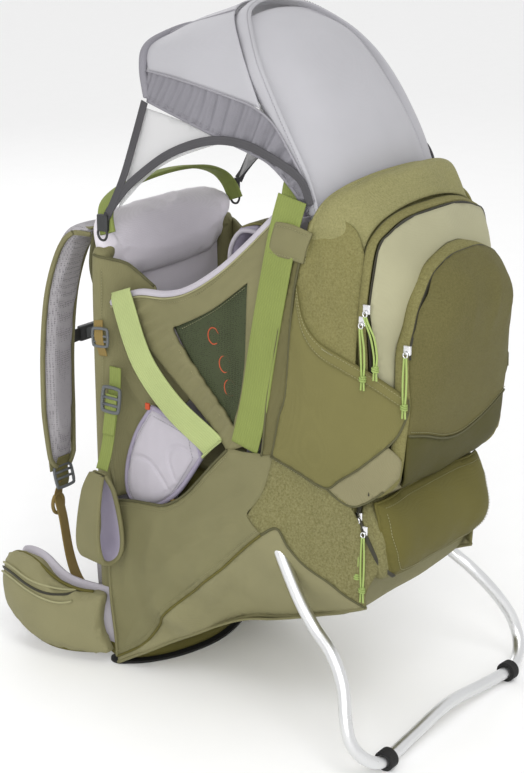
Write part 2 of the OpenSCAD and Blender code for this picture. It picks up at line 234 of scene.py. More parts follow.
def shade_link(n, colour, k):
    """A linked colour, darkened by k."""
    node = n.add("Mix", {0: 1.0, 6: colour, 7: (k, k, k, 1)}, data_type="RGBA", blend_type="MULTIPLY")
    return node.outputs[2]


def cloths():
    """Every material by name."""
    olive = (0.207, 0.194, 0.095)
    make = {
        "olive": dict(colour=olive, rough=0.62, sheen=0.15, weave=0.5, cloud=0.06, crumple=0.05),
        # A lighter copy of olive for the underside and the hip belt; its extra lightness is painted light.
        "olive_light": dict(colour=(0.262, 0.245, 0.128), rough=0.62, sheen=0.15, weave=0.5, cloud=0.06,
                            crumple=0.05),
        "olive_mid": dict(colour=(0.141, 0.129, 0.052), rough=0.64, sheen=0.1, weave=0.5, cloud=0.05,
                          crumple=0.04),
        "foot": dict(colour=(0.076, 0.069, 0.015), rough=0.66, weave=0.5, cloud=0.06, crumple=0.04),
        "olive_dark": dict(colour=(0.125, 0.111, 0.026), rough=0.66, sheen=0.1, weave=0.5, cloud=0.06,
                           crumple=0.04),
        "stretch": dict(colour=(0.178, 0.163, 0.057), rough=0.72, sheen=0.1, weave=0.4, pitch=0.9,
                        cloud=0.04),
        "heather": dict(colour=(0.18, 0.164, 0.058), rough=0.74, sheen=0.1, weave=0.5, grain=0.36,
                        grain_size=2.6, cloud=0.07, check=0.16, check_pitch=5.0, crumple=0.03,
                        fleck=(0.34, 0.32, 0.14, 1)),
        "heather_dark": dict(colour=(0.122, 0.109, 0.036), rough=0.74, sheen=0.08, weave=0.5, grain=0.26,
                             grain_size=2.4, cloud=0.06, crumple=0.03, fleck=(0.22, 0.2, 0.08, 1)),
        "heather_low": dict(colour=(0.16, 0.147, 0.055), rough=0.76, sheen=0.1, weave=0.5, grain=0.4,
                            grain_size=2.8, cloud=0.07, crumple=0.03, fleck=(0.36, 0.34, 0.17, 1)),
        "pale": dict(colour=(0.335, 0.322, 0.205), rough=0.6, sheen=0.15, weave=0.12, cloud=0.05,
                     crumple=0.04),
        "pale_low": dict(colour=(0.24, 0.22, 0.12), rough=0.6, sheen=0.15, weave=0.4, cloud=0.05,
                         crumple=0.04),
        "collar": dict(colour=(0.235, 0.221, 0.092), rough=0.7, sheen=0.12, weave=0.5, grain=0.3,
                       grain_size=2.6, check=0.14, check_pitch=5.0, fleck=(0.42, 0.4, 0.2, 1), cloud=0.07,
                       crumple=0.06, crumple_size=28.0),
        "pipe": dict(colour=(0.36, 0.345, 0.19), rough=0.6, weave=0.4, pitch=0.9),
        "pipe_dark": dict(colour=(0.1, 0.095, 0.045), rough=0.7, weave=0.3, pitch=0.9),
        "lilac": dict(colour=(0.455, 0.43, 0.47), rough=0.88, sheen=0.3, weave=0.25, pitch=1.6,
                      cloud=0.04, crumple=0.03, crumple_size=30.0),
        # A lighter copy of lilac for the cockpit's inside; its extra lightness is painted light against the
        # shade in there.
        "lining": dict(colour=(0.74, 0.70, 0.76), rough=0.88, sheen=0.3, weave=0.25, pitch=1.6,
                       cloud=0.04, crumple=0.05, crumple_size=40.0),
        "lilac_dark": dict(colour=(0.33, 0.3, 0.38), rough=0.88, sheen=0.2, weave=0.25, pitch=1.6,
                           cloud=0.08, crumple=0.1, crumple_size=24.0),
        "spacer": dict(colour=(0.35, 0.335, 0.35), rough=0.85, holes=0.75, hole_pitch=3.2, cloud=0.05),
        "window": dict(colour=(0.054, 0.066, 0.031), rough=0.7, holes=0.6, hole_pitch=2.6, cloud=0.1,
                       alpha=0.84),
        # A lighter copy of lime for the lower side strap; its extra lightness is painted light where the
        # strap faces the light.
        "lime_light": dict(colour=(0.405, 0.47, 0.195), rough=0.68, sheen=0.15, ribs=0.55, cloud=0.05),
        "lime": dict(colour=(0.22, 0.264, 0.07), rough=0.68, sheen=0.15, ribs=0.55, cloud=0.05),
        "tan": dict(colour=(0.24, 0.17, 0.055), rough=0.7, ribs=0.5, cloud=0.06),
        "tape": dict(colour=(0.075, 0.073, 0.078), rough=0.7, ribs=0.45, cloud=0.08),
        "dark_web": dict(colour=(0.035, 0.034, 0.03), rough=0.7, ribs=0.45, cloud=0.08),
        "olive_web": dict(colour=(0.17, 0.155, 0.06), rough=0.7, ribs=0.45, cloud=0.06),
        "shade": dict(colour=(0.385, 0.381, 0.402), rough=0.55, sheen=0.2, weave=0.08, pitch=1.4,
                      cloud=0.025, crumple=0.035, crumple_size=60.0),
        # Darker grey, used on the front bar and the valance; on the valance the darkness is painted shade
        # under the canopy.
        "shade_dark": dict(colour=(0.23, 0.224, 0.248), rough=0.6, sheen=0.15, weave=0.35, cloud=0.06,
                           crumple=0.06, crumple_size=20.0),
        "sheer": dict(colour=(0.72, 0.715, 0.72), rough=0.8, weave=0.6, pitch=1.5, cloud=0.02,
                      alpha=0.62),
        "cord": dict(colour=(0.33, 0.43, 0.13), rough=0.6, ribs=0.6, rib_pitch=1.1),
        "zip": dict(colour=(0.04, 0.036, 0.018), rough=0.5, ribs=0.9, rib_pitch=1.4),
        "thread": dict(colour=(0.4, 0.385, 0.22), rough=0.6, weave=0.5, pitch=0.5),
        "thread_grey": dict(colour=(0.36, 0.35, 0.38), rough=0.6, weave=0.5, pitch=0.5),
        "aluminium": dict(colour=(0.72, 0.725, 0.73), rough=0.3, metal=1.0, cloud=0.02, grain=0.05,
                          grain_size=2.0),
        "steel": dict(colour=(0.75, 0.75, 0.76), rough=0.25, metal=1.0, cloud=0.03, grain=0.05,
                      grain_size=2.0),
        "rubber": dict(colour=(0.018, 0.018, 0.018), rough=0.7, cloud=0.15, weave=0.2, pitch=0.8),
        "plastic": dict(colour=(0.022, 0.023, 0.024), rough=0.42, cloud=0.1, weave=0.12, pitch=0.7),
        "grey_plastic": dict(colour=(0.1, 0.108, 0.11), rough=0.4, cloud=0.08, weave=0.12, pitch=0.7),
        "red": dict(colour=(0.5, 0.08, 0.03), rough=0.65, ribs=0.4, cloud=0.06),
        "pole": dict(colour=(0.13, 0.133, 0.137), rough=0.35, cloud=0.05, coat=0.3, weave=0.1),
    }
    return {name: material(name, **say) for name, say in make.items()}


# ---------------------------------------------------------------- curves


def curve(points, n=6, closed=False):
    """A smooth line through the points, with n steps in each gap."""
    p = np.array(points, float)
    m = len(p)
    at = (lambda i: p[i % m]) if closed else (lambda i: p[min(max(i, 0), m - 1)])
    out = []
    for i in range(m if closed else m - 1):
        a, b, c, d = at(i - 1), at(i), at(i + 1), at(i + 2)
        for k in range(n):
            t = k / n
            out.append(0.5 * (2 * b + (c - a) * t + (2 * a - 5 * b + 4 * c - d) * t * t
                              + (3 * b - a - 3 * c + d) * t ** 3))
    if not closed:
        out.append(p[-1])
    return np.array(out)


def spaced(line, step, closed=False):
    """The line again, with points about step apart."""
    line = np.array(line, float)
    if closed:
        line = np.vstack([line, line[:1]])
    along = np.r_[0, np.cumsum(np.linalg.norm(np.diff(line, axis=0), axis=1))]
    count = max(2, int(round(along[-1] / step)) + 1)
    at = np.linspace(0, along[-1], count)
    out = np.stack([np.interp(at, along, line[:, k]) for k in range(line.shape[1])], axis=1)
    return out[:-1] if closed else out


def flip(points, s):
    """The same points on side s."""
    return [(s * p[0], *p[1:]) for p in points]


def mirrored(points):
    """A route that ends on x = 0, carried on to the other side."""
    return [tuple(p) for p in points] + [(-p[0], *p[1:]) for p in points[-2::-1]]


def unit(v):
    v = np.array(v, float)
    return v / np.maximum(np.linalg.norm(v, axis=-1, keepdims=True), 1e-9)


def ripple(p, size, seed=0):
    """Soft waves without a direction, about size across, from -1 to 1."""
    total = np.zeros(len(p))
    for k in range(5):
        a, b = 1.9 * k + seed, 2.3 * k + 0.7 * seed
        way = np.array([math.cos(a) * math.cos(b), math.sin(a) * math.cos(b), math.sin(b)])
        total += np.sin(p @ way * 2 * math.pi / (size * (1 + 0.23 * k)) + 1.7 * k + seed)
    return total / 5


def smooth(x, low, high):
    """0 below low and 1 above high, with a soft change between."""
    t = np.clip((x - low) / (high - low), 0, 1)
    return t * t * (3 - 2 * t)


# ---------------------------------------------------------------- meshes


def mesh(name, verts, faces, mats, body=None, uv=None, which=None):
    """A new piece in metres; which gives each face's place in mats."""
    data = bpy.data.meshes.new(name)
    data.from_pydata((np.array(verts, float) * MM).tolist(), [], [tuple(f) for f in faces])
    for m in mats if isinstance(mats, (list, tuple)) else [mats]:
        data.materials.append(CLOTH[m])
    if which is not None:
        data.polygons.foreach_set("material_index", np.array(which, np.int32))
    if uv is not None:
        layer = data.uv_layers.new(name="cloth")
        loops = np.zeros(len(data.loops), np.int32)
        data.loops.foreach_get("vertex_index", loops)
        layer.data.foreach_set("uv", (np.array(uv, float)[loops] * MM).astype(np.float32).ravel())
    data.polygons.foreach_set("use_smooth", np.full(len(data.polygons), True))
    data.validate()
    ob = bpy.data.objects.new(name, data)
    bpy.context.scene.collection.objects.link(ob)
    tidy = bmesh.new()
    tidy.from_mesh(data)
    bmesh.ops.recalc_face_normals(tidy, faces=tidy.faces)
    tidy.to_mesh(data)
    tidy.free()
    if body:
        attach(ob, home(body))
    return ob


def home(node):
    """The CAD body that a node rides on."""
    return frame["nodes"][node].parent.name.split(":")[-1]


def bridge(rings, m):
    """Faces that join rings of m points, and one face that closes each end."""
    faces = [(i * m + k, i * m + (k + 1) % m, (i + 1) * m + (k + 1) % m, (i + 1) * m + k)
             for i in range(rings - 1) for k in range(m)]
    return faces + [tuple(range(m)), tuple((rings - 1) * m + k for k in range(m))]


def sweep(name, line, section, mat, body, across=None, scale=None):
    """A section [(a, b), ...] carried along a line; a lies along across and b at right angles to it."""
    line, section = np.array(line, float), np.array(section, float)
    tangent = unit(np.gradient(line, axis=0))
    if across is None:
        side = unit(np.cross(tangent[0], (0.3, 0.2, 1)))
        sides = []
        for t in tangent:
            side = unit(side - t * (side @ t))
            sides.append(side)
        u = np.array(sides)
    else:
        flat = np.broadcast_to(np.array(across, float), line.shape)
        u = unit(flat - tangent * (flat * tangent).sum(1)[:, None])
    v = np.cross(tangent, u)
    scale = np.ones((len(line), 1)) if scale is None else np.array(scale, float).reshape(len(line), -1)
    scale = np.broadcast_to(scale, (len(line), 2))
    wide, tall = section[:, 0] * scale[:, :1], section[:, 1] * scale[:, 1:]
    points = line[:, None] + u[:, None] * wide[..., None] + v[:, None] * tall[..., None]
    along = np.r_[0, np.cumsum(np.linalg.norm(np.diff(line, axis=0), axis=1))]
    round_it = np.r_[0, np.cumsum(np.linalg.norm(np.diff(section, axis=0), axis=1))]
    uv = np.stack(np.broadcast_arrays(along[:, None], round_it[None]), -1).reshape(-1, 2)
    return mesh(name, points.reshape(-1, 3), bridge(len(line), len(section)), mat, body, uv)


def circle(r, sides):
    return [(r * math.cos(2 * math.pi * k / sides), r * math.sin(2 * math.pi * k / sides))
            for k in range(sides)]


def tube(name, points, r, mat, body, n=6, sides=16):
    """A round rod with softly rounded ends."""
    line = curve(points, n)
    first, last = unit(line[1] - line[0]), unit(line[-1] - line[-2])
    line = np.vstack([line[0], line[0] + first * r * 0.12, line[0] + first * r * 0.4, line[1:-1],
                      line[-1] - last * r * 0.4, line[-1] - last * r * 0.12, line[-1]])
    scale = np.r_[0.55, 0.85, 1, np.ones(len(line) - 6), 1, 0.85, 0.55]
    return sweep(name, line, circle(r, sides), mat, body, scale=scale[:, None])


def joined(name, obs, body=None):
    """Several new pieces as one."""
    obs = list(obs)
    for o in bpy.context.selected_objects:
        o.select_set(False)
    for o in obs:
        o.parent = None
        o.select_set(True)
    bpy.context.view_layer.objects.active = obs[0]
    bpy.ops.object.join()
    ob = bpy.context.view_layer.objects.active
    ob.name = name
    if body:
        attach(ob, home(body))
    return ob


def web_section(w, t):
    """A flat band with rounded edges."""
    h, e = t / 2, min(t / 2, w / 6)
    return [(-w / 2, 0), (-w / 2 + e * 0.3, -h * 0.8), (-w / 2 + e, -h), (-w / 4, -h), (0, -h),
            (w / 4, -h), (w / 2 - e, -h), (w / 2 - e * 0.3, -h * 0.8), (w / 2, 0),
            (w / 2 - e * 0.3, h * 0.8), (w / 2 - e, h), (w / 4, h), (0, h), (-w / 4, h), (-w / 2 + e, h),
            (-w / 2 + e * 0.3, h * 0.8)]


def strap(name, points, w, t, across, mat, body, n=8):
    """Webbing along a route, with its width along across."""
    return sweep(name, curve(points, n), web_section(w, t), mat, body, across)


def stitches(line, up, mat="thread", pitch=4.0, long=2.6, r=0.38, lift=0.25):
    """A row of small raised stitches along a line; up is the way out of the cloth."""
    line = np.array(line, float)
    ups = np.broadcast_to(np.array(up, float), line.shape)
    fine = spaced(np.hstack([line, ups * 1e-6]), 1.0)
    line, ups = fine[:, :3], fine[:, 3:] * 1e6
    along = np.r_[0, np.cumsum(np.linalg.norm(np.diff(line, axis=0), axis=1))]
    starts = np.arange(pitch / 2, along[-1] - pitch / 2, pitch)
    at = lambda d: np.stack([np.interp(d, along, line[:, k]) for k in range(3)], -1)
    a, b = at(starts - long / 2), at(starts + long / 2)
    middle = unit(np.stack([np.interp(starts, along, ups[:, k]) for k in range(3)], -1))
    way = unit(b - a)
    side = unit(np.cross(way, middle)) * r
    top = middle * r
    ring = lambda c, k: [c + side * k - top * 0.4, c + top * k + middle * lift, c - side * k - top * 0.4]
    parts = ring(a, 0.5) + ring((a + b) / 2, 1.0) + ring(b, 0.5)
    verts = np.stack(parts, 1).reshape(-1, 3)
    faces = []
    for k in range(len(starts)):
        o = 9 * k
        for i in (0, 3):
            faces += [(o + i + j, o + i + (j + 1) % 3, o + i + 3 + (j + 1) % 3, o + i + 3 + j)
                      for j in range(3)]
        faces += [(o, o + 1, o + 2), (o + 6, o + 8, o + 7)]
    return mesh("stitches", verts, faces, mat)


def outline_of(runs, step=4.0):
    """A closed outline from runs of 2-D points; each run is smooth and runs meet at corners."""
    out = []
    for run in runs:
        line = spaced(curve(run, 8) if len(run) > 2 else np.array(run, float), step)
        out.append(line[:-1])
    return np.vstack(out)


def inside(points, loop):
    """Which points of the plane lie within a closed outline."""
    x, y = points[:, 0][:, None], points[:, 1][:, None]
    a, b = loop, np.roll(loop, -1, axis=0)
    cross = ((a[:, 1] > y) != (b[:, 1] > y)) & (
        x < (b[:, 0] - a[:, 0]) * (y - a[:, 1]) / (b[:, 1] - a[:, 1] + 1e-12) + a[:, 0])
    return cross.sum(1) % 2 == 1


def to_line(points, line, closed=False):
    """Each point's distance to a line of points, in the plane."""
    a = line
    b = np.roll(line, -1, axis=0) if closed else line[1:]
    a = a if closed else line[:-1]
    best = np.full(len(points), 1e9)
    for p, q in zip(a, b):
        d = q - p
        t = np.clip((points - p) @ d / max(d @ d, 1e-12), 0, 1)
        best = np.minimum(best, np.linalg.norm(points - p - t[:, None] * d, axis=1))
    return best


def panel(name, runs, surface, mat, body, thick=2.0, crown=0.0, crown_run=14.0, step=5.0, holes=(),
          folds=(), wave=0.0, wave_size=60.0, lift=0.0, back=1.0, mats=None, turn=1):
    """A cut piece of cloth or a pad on a surface. runs is its outline, surface maps the plane to space.
    crown is how far the middle stands out over crown_run; folds are ridges, each (start, end, width,
    height); back is the share of the crown that the back side has. Of two mats, the second is the back's."""
    loop = outline_of(runs, step * 0.8)
    rims = [loop] + [outline_of(h, step * 0.8) for h in holes]
    low, high = loop.min(0), loop.max(0)
    rows = []
    for j, v in enumerate(np.arange(low[1], high[1], step * 0.866)):
        us = np.arange(low[0] + (j % 2) * step / 2, high[0], step)
        rows.append(np.stack([us, np.full(len(us), v)], 1))
    grid = np.vstack(rows)
    keep = inside(grid, loop) & (to_line(grid, loop, True) > step * 0.45)
    for rim in rims[1:]:
        keep &= ~inside(grid, rim) & (to_line(grid, rim, True) > step * 0.45)
    grid = grid[keep]
    edges, start = [], 0
    for rim in rims:
        edges += [(start + k, start + (k + 1) % len(rim)) for k in range(len(rim))]
        start += len(rim)
    flat = np.vstack(rims + [grid])
    verts, _, faces, *_ = geometry.delaunay_2d_cdt([Vector(p) for p in flat], edges, [], 1, 0.01)
    flat = np.array([tuple(v) for v in verts], float)
    middle = np.array([flat[list(f)].mean(0) for f in faces])
    good = inside(middle, loop)
    for rim in rims[1:]:
        good &= ~inside(middle, rim)
    faces = [f for f, g in zip(faces, good) if g]
    edge = np.full(len(flat), 1e9)
    for rim in rims:
        edge = np.minimum(edge, to_line(flat, rim, True))
    base = surface(flat)
    d = 0.7
    du = surface(flat + (d, 0)) - base
    dv = surface(flat + (0, d)) - base
    normal = unit(np.cross(du, dv)) * turn
    rise = np.sqrt(np.maximum(0, 1 - (1 - np.clip(edge / crown_run, 0, 1)) ** 2)) * crown
    bumps = np.zeros(len(flat))
    for a, b, width, tall in folds:
        a, b = np.array(a, float), np.array(b, float)
        t = np.clip((flat - a) @ (b - a) / ((b - a) @ (b - a)), 0, 1)
        away = np.linalg.norm(flat - a - t[:, None] * (b - a), axis=1)
        bumps += tall * np.exp(-(away / width) ** 2) * np.sin(np.pi * (0.12 + 0.76 * t))
    if wave:
        bumps += wave * ripple(base, wave_size, len(name)) * smooth(edge, 0, 12)
    out = base + normal * (lift + thick / 2 + rise + bumps)[:, None]
    under = base + normal * (lift - thick / 2 - rise * back + bumps * (0.6 if thick < 5 else 0))[:, None]
    count = len(flat)
    used = {}
    for f in faces:
        for i in range(len(f)):
            a, b = f[i], f[(i + 1) % len(f)]
            if (b, a) in used:
                del used[(b, a)]
            else:
                used[(a, b)] = True
    sides = [(a, b, b + count, a + count) for a, b in used]
    every = faces + [tuple(v + count for v in f[::-1]) for f in faces] + sides
    which = None
    if mats:
        which = [0] * len(faces) + [1] * len(faces) + [0] * len(sides)
    return mesh(name, np.vstack([out, under]), every, mats or mat, body, np.vstack([flat, flat]), which)


def grown(ob, cap=8.0, voxel=5.0, pressure=4.0):
    """Blows a pad up as cloth: remesh, Cloth with pressure, and a cap on how far a point moves."""
    bpy.context.view_layer.objects.active = ob
    ob.select_set(True)
    remesh = ob.modifiers.new("remesh", "REMESH")
    remesh.mode = "VOXEL"
    remesh.voxel_size = voxel * MM
    remesh.use_smooth_shade = True
    bpy.ops.object.modifier_apply(modifier="remesh")
    rest = np.zeros(len(ob.data.vertices) * 3)
    ob.data.vertices.foreach_get("co", rest)
    rest = rest.reshape(-1, 3)
    cloth = ob.modifiers.new("cloth", "CLOTH")
    cloth.settings.use_pressure = True
    cloth.settings.uniform_pressure_force = pressure
    cloth.settings.effector_weights.gravity = 0
    cloth.settings.quality = 4
    cloth.point_cache.frame_start = 1
    cloth.point_cache.frame_end = 20
    for f in range(1, 21):
        bpy.context.scene.frame_set(f)
    seen = ob.evaluated_get(bpy.context.evaluated_depsgraph_get())
    after = np.zeros(len(seen.data.vertices) * 3)
    seen.data.vertices.foreach_get("co", after)
    move = after.reshape(-1, 3) - rest
    far = np.linalg.norm(move, axis=1, keepdims=True)
    move *= np.minimum(1, cap * MM / np.maximum(far, 1e-9))
    ob.modifiers.remove(cloth)
    bpy.context.scene.frame_set(1)
    ob.data.vertices.foreach_set("co", (rest + move).ravel())
    sub = ob.modifiers.new("sub", "SUBSURF")
    sub.levels = 1
    sub.render_levels = 1
    bpy.ops.object.modifier_apply(modifier="sub")
    ob.data.polygons.foreach_set("use_smooth", np.full(len(ob.data.polygons), True))
    ob.select_set(False)
    return ob


def laid_on(ob, line, out=0.8):
    """A line moved onto a finished pad's surface; call it before the pad rides on a body."""
    found = [ob.closest_point_on_mesh(Vector(p) * MM) for p in np.array(line, float)]
    line = np.array([np.array(place) / MM + np.array(way) * out for _, place, way, _ in found])
    for _ in range(12):
        line[1:-1] = (line[:-2] + line[1:-1] + line[2:]) / 3
    return line


def sewn(ob, lines, width, depth):
    """Presses sewn lines into a pad's surface: each line is 3-D points that lie on or near it."""
    co = np.zeros(len(ob.data.vertices) * 3)
    no = np.zeros(len(ob.data.vertices) * 3)
    ob.data.vertices.foreach_get("co", co)
    ob.data.vertices.foreach_get("normal", no)
    co, no = co.reshape(-1, 3) / MM, no.reshape(-1, 3)
    for line in lines:
        away = to_line(co, np.array(line, float))
        co -= no * (depth * np.exp(-(away / width) ** 2))[:, None]
    ob.data.vertices.foreach_set("co", (co * MM).ravel())
    ob.data.update()


class Fitted:
    """A smooth height over the plane, through control points (u, v, height)."""

    def __init__(self, points, soft=0.02):
        p = np.array(points, float)
        self.at, n = p[:, :2] / 100, len(p)
        a = np.zeros((n + 3, n + 3))
        a[:n, :n] = self.bump(self.at) + np.eye(n) * soft
        a[:n, n:] = np.c_[np.ones(n), self.at]
        a[n:, :n] = a[:n, n:].T
        self.share = np.linalg.solve(a, np.r_[p[:, 2], 0, 0, 0])

    def bump(self, q):
        r = np.linalg.norm(q[:, None] - self.at[None], axis=2)
        return r * r * np.log(r + 1e-9)

    def __call__(self, q):
        q = np.atleast_2d(np.array(q, float)) / 100
        return self.bump(q) @ self.share[:-3] + self.share[-3] + q @ self.share[-2:]


def both(rows):
    """Control points (x, z, y) for x >= 0, with their mirror images."""
    return rows + [(-r[0], r[1], r[2]) for r in rows if r[0] > 0]


def cloth_grid(name, rows, mat, body, thick=2.0, n=(5, 5), wave=0.0, wave_size=60.0, shape=None, turn=1,
               mats=None):
    """A continuous sheet through a grid of control points; shape(points, u, v) adds to its height."""
    g = np.array(rows, float)
    g = np.array([curve(g[:, j], n[0]) for j in range(g.shape[1])]).transpose(1, 0, 2)
    g = np.array([curve(row, n[1]) for row in g])
    r, c = g.shape[:2]
    normal = unit(np.cross(np.gradient(g, axis=1), np.gradient(g, axis=0))) * turn
    u, v = np.meshgrid(np.linspace(0, 1, c), np.linspace(0, 1, r))
    rise = np.zeros((r, c))
    if wave:
        rise += wave * ripple(g.reshape(-1, 3), wave_size, len(name)).reshape(r, c) * np.minimum(
            smooth(np.minimum(u, 1 - u), 0, 0.08), smooth(np.minimum(v, 1 - v), 0, 0.1))
    if shape:
        rise += shape(g, u, v)
    top = (g + normal * (thick / 2 + rise)[..., None]).reshape(-1, 3)
    low = (g + normal * (rise - thick / 2)[..., None]).reshape(-1, 3)
    along = np.cumsum(np.linalg.norm(np.diff(g, axis=0, prepend=g[:1]), axis=2), axis=0)
    over = np.cumsum(np.linalg.norm(np.diff(g, axis=1, prepend=g[:, :1]), axis=2), axis=1)
    uv = np.stack([over, along], -1).reshape(-1, 2)
    faces = [(i * c + j, i * c + j + 1, (i + 1) * c + j + 1, (i + 1) * c + j) for i in range(r - 1)
             for j in range(c - 1)]
    rim = list(range(c)) + [i * c + c - 1 for i in range(1, r)]
    rim += [(r - 1) * c + j for j in range(c - 2, -1, -1)] + [i * c for i in range(r - 2, 0, -1)]
    m = r * c
    every = faces + [tuple(q + m for q in f[::-1]) for f in faces] + [
        (rim[k - 1], rim[k], rim[k] + m, rim[k - 1] + m) for k in range(len(rim))]
    which = [0] * len(faces) + [1] * (len(faces) + len(rim)) if mats else None
    return mesh(name, np.vstack([top, low]), every, mats or mat, body, np.vstack([uv, uv]), which)


def ribbon(name, a, b, mat, body, thick=2.0, bulge=0.0, turn=1):
    """A sheet between two lines, which may bulge in its middle."""
    share = np.linspace(0, 1, max(12, int(np.linalg.norm(np.diff(a, axis=0), axis=1).sum() / 6)))
    pick = lambda line: np.stack(
        [np.interp(share, np.linspace(0, 1, len(line)), line[:, k]) for k in range(3)], 1)
    a, b = pick(spaced(a, 2)), pick(spaced(b, 2))
    lines = [a * (1 - t) + b * t for t in (0, 0.25, 0.5, 0.75, 1)]
    arch = lambda g, u, v: bulge * np.sin(np.pi * v)
    return cloth_grid(name, lines, mat, body, thick, (1, 1), shape=arch, turn=turn)


def bag(name, levels, mat, body, power, sides=72, wave=0.0):
    """A stuffed bag from level sections (z, front y, rear y, half width)."""
    rings = []
    for z, y0, y1, hw in curve(levels, 5):
        a = np.linspace(0, 2 * np.pi, sides, endpoint=False)
        c, s = np.cos(a), np.sin(a)
        k = (np.abs(c) ** power + np.abs(s) ** power) ** (-1 / power)
        rings.append(np.stack([hw * k * c, (y0 + y1) / 2 + (y1 - y0) / 2 * k * s, np.full(sides, z)], 1))
    g = np.array(rings)
    ends = []
    for ring, way in ((g[0], -1), (g[-1], 1)):
        middle = ring.mean(0)
        ends.append([middle + (ring - middle) * t + (0, 0, way * 5 * math.sqrt(1 - t * t))
                     for t in (0.1, 0.45, 0.8, 0.93)])
    g = np.array(ends[0] + list(g) + ends[1][::-1])
    if wave:
        middle = g.mean(axis=1, keepdims=True)
        push = wave * ripple(g.reshape(-1, 3), 80, len(name)).reshape(g.shape[:2])
        g = g + unit(g - middle) * push[..., None]
    return mesh(name, g.reshape(-1, 3), bridge(len(g), sides), mat, body)


def closed(line):
    """The line carried on past its own start, so that a sweep along it has no gap."""
    return np.vstack([line, line[:2]])


def ring_tube(points, r, mat):
    """A closed loop of round rod."""
    return sweep("ring", closed(curve(points, 6, closed=True)), circle(r, 8), mat, None)


def about(middle, radii, angles):
    """Points on an oval: the radii along x and y go with the cosine, and the one along z with the sine."""
    x, y, z = radii
    return [np.add(middle, (x * math.cos(a), y * math.cos(a), z * math.sin(a))) for a in angles]


def pillow(w, t, sides=20, power=0.6):
    """The section of a pad with full edges; w and t are measured from its middle."""
    return [(w * math.copysign(abs(math.cos(a)) ** power, math.cos(a)), t * math.sin(a))
            for a in np.linspace(0, 2 * math.pi, sides, endpoint=False)]


def varied(line, places, values):
    """A value at each point of a line; places run from 0 at its start to 1 at its end."""
    return np.interp(np.linspace(0, 1, len(line)), places, values)[:, None]


def scaled(runs, middle, share):
    """An outline of runs, drawn in or out about a point of the plane."""
    (x, y), (a, b) = middle, share
    return [[(x + (u - x) * a, y + (v - y) * b) for u, v in run] for run in runs]


def soft(ob, node, fill):
    """A finished pad that rides on its node's body and stands for it."""
    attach(ob, home(node))
    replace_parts(ob, node)


def piping(line, r, mat, body=None, name="piping"):
    """A thin round edge along a line."""
    return sweep(name, spaced(line, 4), circle(r, 8), mat, body)


def block(name, size, place, mat, bevel):
    """A box with rounded edges."""
    bm = bmesh.new()
    bmesh.ops.create_cube(bm, size=1)
    for v in bm.verts:
        v.co = Vector([c * d * MM for c, d in zip(v.co, size)])
    bmesh.ops.bevel(bm, geom=list(bm.edges), offset=bevel * MM, segments=3, affect="EDGES", profile=0.6)
    data = bpy.data.meshes.new(name)
    bm.to_mesh(data)
    bm.free()
    data.materials.append(CLOTH[mat])
    data.polygons.foreach_set("use_smooth", np.full(len(data.polygons), True))
    ob = bpy.data.objects.new(name, data)
    bpy.context.scene.collection.objects.link(ob)
    ob.location = [c * MM for c in place]
    bpy.context.view_layer.update()
    data.transform(ob.matrix_basis)
    ob.matrix_basis.identity()
    return ob


def ladder_lock(name, place, w, h, t, mat, body, across, down):
    """A webbing buckle: an outer ring and two cross bars."""
    a, d, p = unit(across), unit(down), np.array(place, float)
    c = 0.3
    ring = [p + a * w / 2 * x + d * h / 2 * y for x,
            y in ((-1, -1 + c), (-1, 1 - c), (-1 + c, 1), (1 - c, 1), (1, 1 - c), (1, -1 + c),
                  (1 - c, -1), (-1 + c, -1))]
    parts = [ring_tube(ring, t / 2, mat)]
    for k in (-0.15, 0.45):
        line = [p + a * w / 2 * x + d * h / 2 * k for x in (-1, 0, 1)]
        parts.append(sweep("bar", np.array(line), circle(t * 0.42, 10), mat, None))
    return joined(name, parts, body)


def zip_along(name, line, up, body, w):
    """A zip: dark tape with small teeth down its middle."""
    route = spaced(line, 5)
    tape = sweep(name, route, web_section(w, 1.6), "zip", None,
                 np.cross(unit(np.gradient(route, axis=0)), up))
    teeth = stitches(line, up, "plastic", pitch=2.0, long=1.1, r=1.0, lift=0.6)
    return joined(name, [tape, teeth], body)


CLOTH = {}


# ---------------------------------------------------------------- shapes of the soft parts

# How far the side cloth stands from the middle: (y, z, x)
SIDE = Fitted(
    [(-147, 14, 142), (-147, 90, 147), (-147, 170, 149), (-147, 248, 146), (-104, 40, 147),
     (-100, 120, 151), (-96, 190, 152), (-92, 252, 148), (-38, 106, 158), (-28, 180, 162),
     (-16, 240, 159), (0, 300, 151), (34, 184, 167), (44, 240, 171), (52, 300, 165), (58, 348, 154),
     (118, 262, 167), (120, 306, 165), (122, 336, 160), (124, 372, 152), (-140, 300, 144),
     (-140, 400, 141), (-146, 524, 140), (-50, 360, 142), (-50, 450, 140), (-50, 552, 141),
     (-9, 567, 141), (40, 400, 143), (40, 500, 142), (40, 600, 141), (85, 640, 141), (122, 676, 141),
     (110, 450, 146), (118, 560, 146), (150, 340, 150), (150, 400, 149), (150, 500, 148), (150, 560, 146),
     (150, 620, 142), (150, 680, 136), (200, 300, 150), (200, 400, 151), (200, 500, 150), (200, 560, 147),
     (200, 620, 141), (200, 670, 132), (216, 300, 148), (232, 300, 141), (240, 400, 146), (240, 340, 140),
     (246, 314, 130), (256, 292, 126), (265, 268, 123), (273, 247, 121), (222, 262, 143), (240, 480, 143),
     (240, 560, 139), (240, 640, 129), (262, 510, 136), (276, 485, 129), (280, 400, 128), (307, 468, 112),
     (300, 415, 114), (275, 352, 118), (295, 375, 115), (150, 240, 150), (180, 220, 142), (230, 220, 140),
     (200, 260, 149), (170, 185, 128), (220, 190, 128), (256, 204, 128), (240, 262, 133), (259, 222, 126),
     (110, 165, 126), (60, 150, 124), (0, 112, 122), (-60, 70, 126), (-110, 40, 136), (100, 210, 145),
     (50, 175, 140), (-20, 125, 140)])

